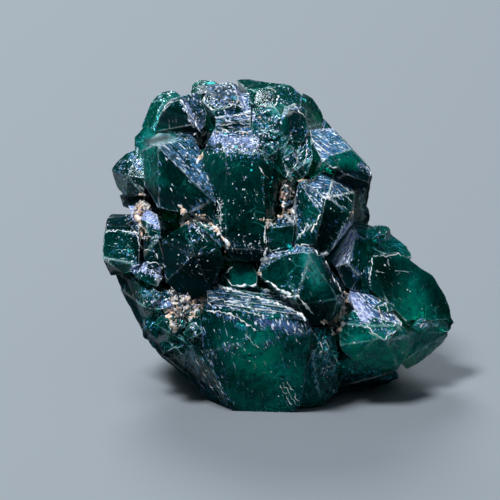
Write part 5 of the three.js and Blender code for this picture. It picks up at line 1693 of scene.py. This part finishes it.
def stone_grid(mid, radii, seed):
    """point(a, b) = mid + (radii + noise) * unit(a, b), where unit is the sphere's point at
    polar angle a and turn b. The poles are single points."""
    polar = np.linspace(0, np.pi, STONE_RINGS + 1)[1:-1]
    turn = np.linspace(0, 2 * np.pi, 2 * STONE_RINGS, endpoint=False)
    a, b = np.meshgrid(polar, turn, indexing="ij")
    unit = np.stack([np.sin(a) * np.cos(b), np.cos(a), np.sin(a) * np.sin(b)], axis=-1)
    unit = np.vstack([unit.reshape(-1, 3), [[0, 1, 0], [0, -1, 0]]])
    spread = unit * radii
    noises = [share * wander(spread, size, seed + k) for k, (size, share) in enumerate(CRUMB_SIZES.items())]
    points = np.array(mid) + spread + CRUMB_HEIGHT * sum(noises)[:, None] * unit
    index, after, bands = banded(*a.shape)
    top = np.column_stack([np.full(len(turn), a.size), after[0], index[0]])
    bottom = np.column_stack([np.full(len(turn), a.size + 1), index[-1], after[-1]])
    return points, np.vstack([bands, top, bottom])


print("a lump of stone:", len(stone_grid(*MATRIX_LUMPS["matrix_back"], 0)[0]), "points")

# %% [markdown]
# A Boolean cuts away what would lie inside the crystals. The lumps are cut with crystals
# drawn a hair too small, so the stone still touches them.

# %% Fit the stone to the crystals
STONE_SEED = 900
HAIR = 0.03


def fan(ring):
    """An outline as a fan of triangles around its first corner."""
    k = np.arange(1, len(ring) - 1)
    return ring, np.column_stack([0 * k, k, k + 1])


def cutter(name):
    """The crystal without its wear, and a hair smaller."""
    smaller = flat_shape(crystals[name] - [0, 0, 0, HAIR])
    points, triangles = closed_skin([fan(ring) for ring in smaller["rings"]], shapes[name]["middle"])
    return mesh_object("cutter", placed(points), triangles)


def fitted_stone(name, seed):
    """A lump of stone without what lies inside the crystals, as a piece."""
    points, triangles = stone_grid(*MATRIX_LUMPS[name], seed)
    rough_stone = mesh_object(name + "_stone", placed(points), triangles)
    cut_or_join(rough_stone, cutter_group, "DIFFERENCE")
    points, triangles = largest_skin(*finished_arrays(rough_stone))
    discard([rough_stone])
    piece = mesh_object(name + "_stone", points, triangles)
    piece.data.polygons.foreach_set("use_smooth", np.ones(len(triangles), bool))
    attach(piece, "root")
    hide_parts(name)
    print(piece.name, len(triangles), "triangles")
    return piece


cutters = [cutter(name) for name in names]
cutter_group = grouped("cutters", cutters)
stones = [fitted_stone(name, STONE_SEED + SEED_STEP * number) for number, name in enumerate(MATRIX_LUMPS)]
discard(cutters)

# %% [markdown]
# The stone is stained from brown through peach to almost white, dusted with white grit,
# speckled with dark and lavender grains, and nearly black in its pores, which is painted shade
# in the low spots of its bump.

# %% The look of the matrix
STAIN_BROWN = (0.5, 0.29, 0.2, 1)
STAIN_PEACH = (0.92, 0.66, 0.52, 1)
STAIN_PALE = (0.97, 0.9, 0.84, 1)
GRIT_WHITE = (0.93, 0.92, 0.92, 1)
GRAIN_BLACK = (0.01, 0.03, 0.04, 1)
GRAIN_TEAL = (0.06, 0.14, 0.18, 1)
GRAIN_LAVENDER = (0.5, 0.5, 0.7, 1)
PORE_PAINTED_SHADE = (0.03, 0.03, 0.03, 1)
STAIN_TONES = ((0.36, STAIN_BROWN), (0.48, STAIN_PEACH), (0.6, STAIN_PALE))
GRIT_SHOWS = ((0.52, 0.0), (0.6, 1.0))
PORE_SHADE_SHOWS = ((0.38, 0.9), (0.43, 0.0))
SPECK_SHOWS = ((0.9, 0.0), (0.93, 1.0))
SPECK_TONES = ((0.3, GRAIN_BLACK), (0.8, GRAIN_TEAL), (0.95, GRAIN_LAVENDER))
SPECKS_PER_MM, SPECK_IN_GRIT = 5.0, 0.5
GRIT_SIZE, STAIN_SIZE = 0.22, 0.8
STONE_ROUGHNESS = 0.8
GRIT_DEPTH = 0.0002

look = Look(bpy.data.materials.new("matrix stone"))
mm = look.place_in_mm()
grit = look.noise(mm, GRIT_SIZE, detail=6, roughness=0.75)
stain = look.noise(mm, STAIN_SIZE, detail=3, roughness=0.5)
stone_tone = look.ramp(stain, STAIN_TONES)
stone_tone = look.mix(look.ramp(grit, GRIT_SHOWS), stone_tone, GRIT_WHITE)
luck, tone, _ = look.channels(look.cells(mm, SPECKS_PER_MM))
grain_share = look.ramp(luck + grit * SPECK_IN_GRIT, SPECK_SHOWS)
grain_tone = look.ramp(tone, SPECK_TONES)
stone_tone = look.mix(grain_share, stone_tone, grain_tone)
# Painted shade: black where the grit bump is lowest.
stone_tone = look.mix(look.ramp(grit, PORE_SHADE_SHOWS), stone_tone, PORE_PAINTED_SHADE)
bump = look.add("ShaderNodeBump", {"Height": grit, "Strength": 1.0, "Distance": GRIT_DEPTH})
look.surface({"Base Color": stone_tone, "Roughness": STONE_ROUGHNESS, "Normal": bump})
for piece in stones:
    piece.data.materials.append(look.owner)
print("stone shader nodes:", len(look.owner.node_tree.nodes))

# %% [markdown]
# The floor is plain and pale. The camera stands far back and 20 degrees up, as for the real
# picture of the specimen, so the view is almost without perspective.

# %% Floor and camera
FLOOR_SIZE = 1.5
FLOOR_GREY = (0.17, 0.19, 0.21, 1)
FLOOR_ROUGHNESS = 0.9
CAMERA_DISTANCE = 0.4
FARTHEST_SEEN = 10
SENSOR = 36.0
PIXELS_PER_MM = 14.0
PICTURE_SIDE = 500
PICTURE_MIDDLE = (-2.07, -0.71, 0.0)

floor_corners = np.array([[-1, -1, 0], [1, -1, 0], [1, 1, 0], [-1, 1, 0]]) * FLOOR_SIZE / 2
floor = mesh_object("floor", floor_corners, np.array([[0, 1, 2], [0, 2, 3]]))
look = Look(bpy.data.materials.new("pale floor"))
look.surface({"Base Color": FLOOR_GREY, "Roughness": FLOOR_ROUGHNESS})
floor.data.materials.append(look.owner)

target = Vector(placed(np.array([PICTURE_MIDDLE]))[0])


def looking(name, data, way, distance):
    """Stands a camera or a light at a distance from the specimen, and turns it to face it."""
    made = bpy.data.objects.new(name, data)
    bpy.context.scene.collection.objects.link(made)
    made.location = target + way * distance
    made.rotation_euler = way.to_track_quat("Z", "Y").to_euler()
    return made


camera = bpy.data.cameras.new("camera")
camera.sensor_width = SENSOR
camera.lens = SENSOR * CAMERA_DISTANCE / (PICTURE_SIDE / PIXELS_PER_MM * MM)
camera.clip_end = FARTHEST_SEEN
bpy.context.scene.camera = looking("camera", camera, Vector(UPRIGHT @ [0, 0, 1]), CAMERA_DISTANCE)
print("lens, mm:", round(camera.lens, 1))

# %% [markdown]
# A large soft light above and behind rakes the upward faces, and a smaller one shines from
# the front. The room around is dim, and brighter overhead.

# %% Lights and the room
LIGHT_DISTANCE = 0.45
LIGHTS = {
    "window": {"size": 0.16, "energy": 2.0, "color": (0.92, 0.96, 1.0), "from": (-160, 58)},
    "front": {"size": 0.1, "energy": 2.9, "color": (0.94, 0.97, 1.0), "from": (-35, 52)},
}
SKY_LOW = (0.012, 0.03, 0.032, 1)
SKY_OVERHEAD = (0.3, 0.36, 0.42, 1)
SKY_TONES = ((0.45, SKY_LOW), (1.0, SKY_OVERHEAD))

for name, given in LIGHTS.items():
    light = bpy.data.lights.new(name, "AREA")
    light.size, light.energy, light.color = given["size"], given["energy"], given["color"]
    looking(name, light, Vector(UPRIGHT @ direction(*given["from"])), LIGHT_DISTANCE)

room = Look(bpy.data.worlds.new("room"))
climb = room.add("ShaderNodeSeparateXYZ", {0: room.add("ShaderNodeTexCoord", {}, "Generated")}, "Z")
tone = room.ramp(climb, SKY_TONES)
sky = room.add("ShaderNodeBackground", {"Color": tone})
room.node("ShaderNodeOutputWorld", {"Surface": sky})
bpy.context.scene.world = room.owner
bpy.context.scene.view_settings.view_transform = "Standard"
print("lights:", list(LIGHTS))
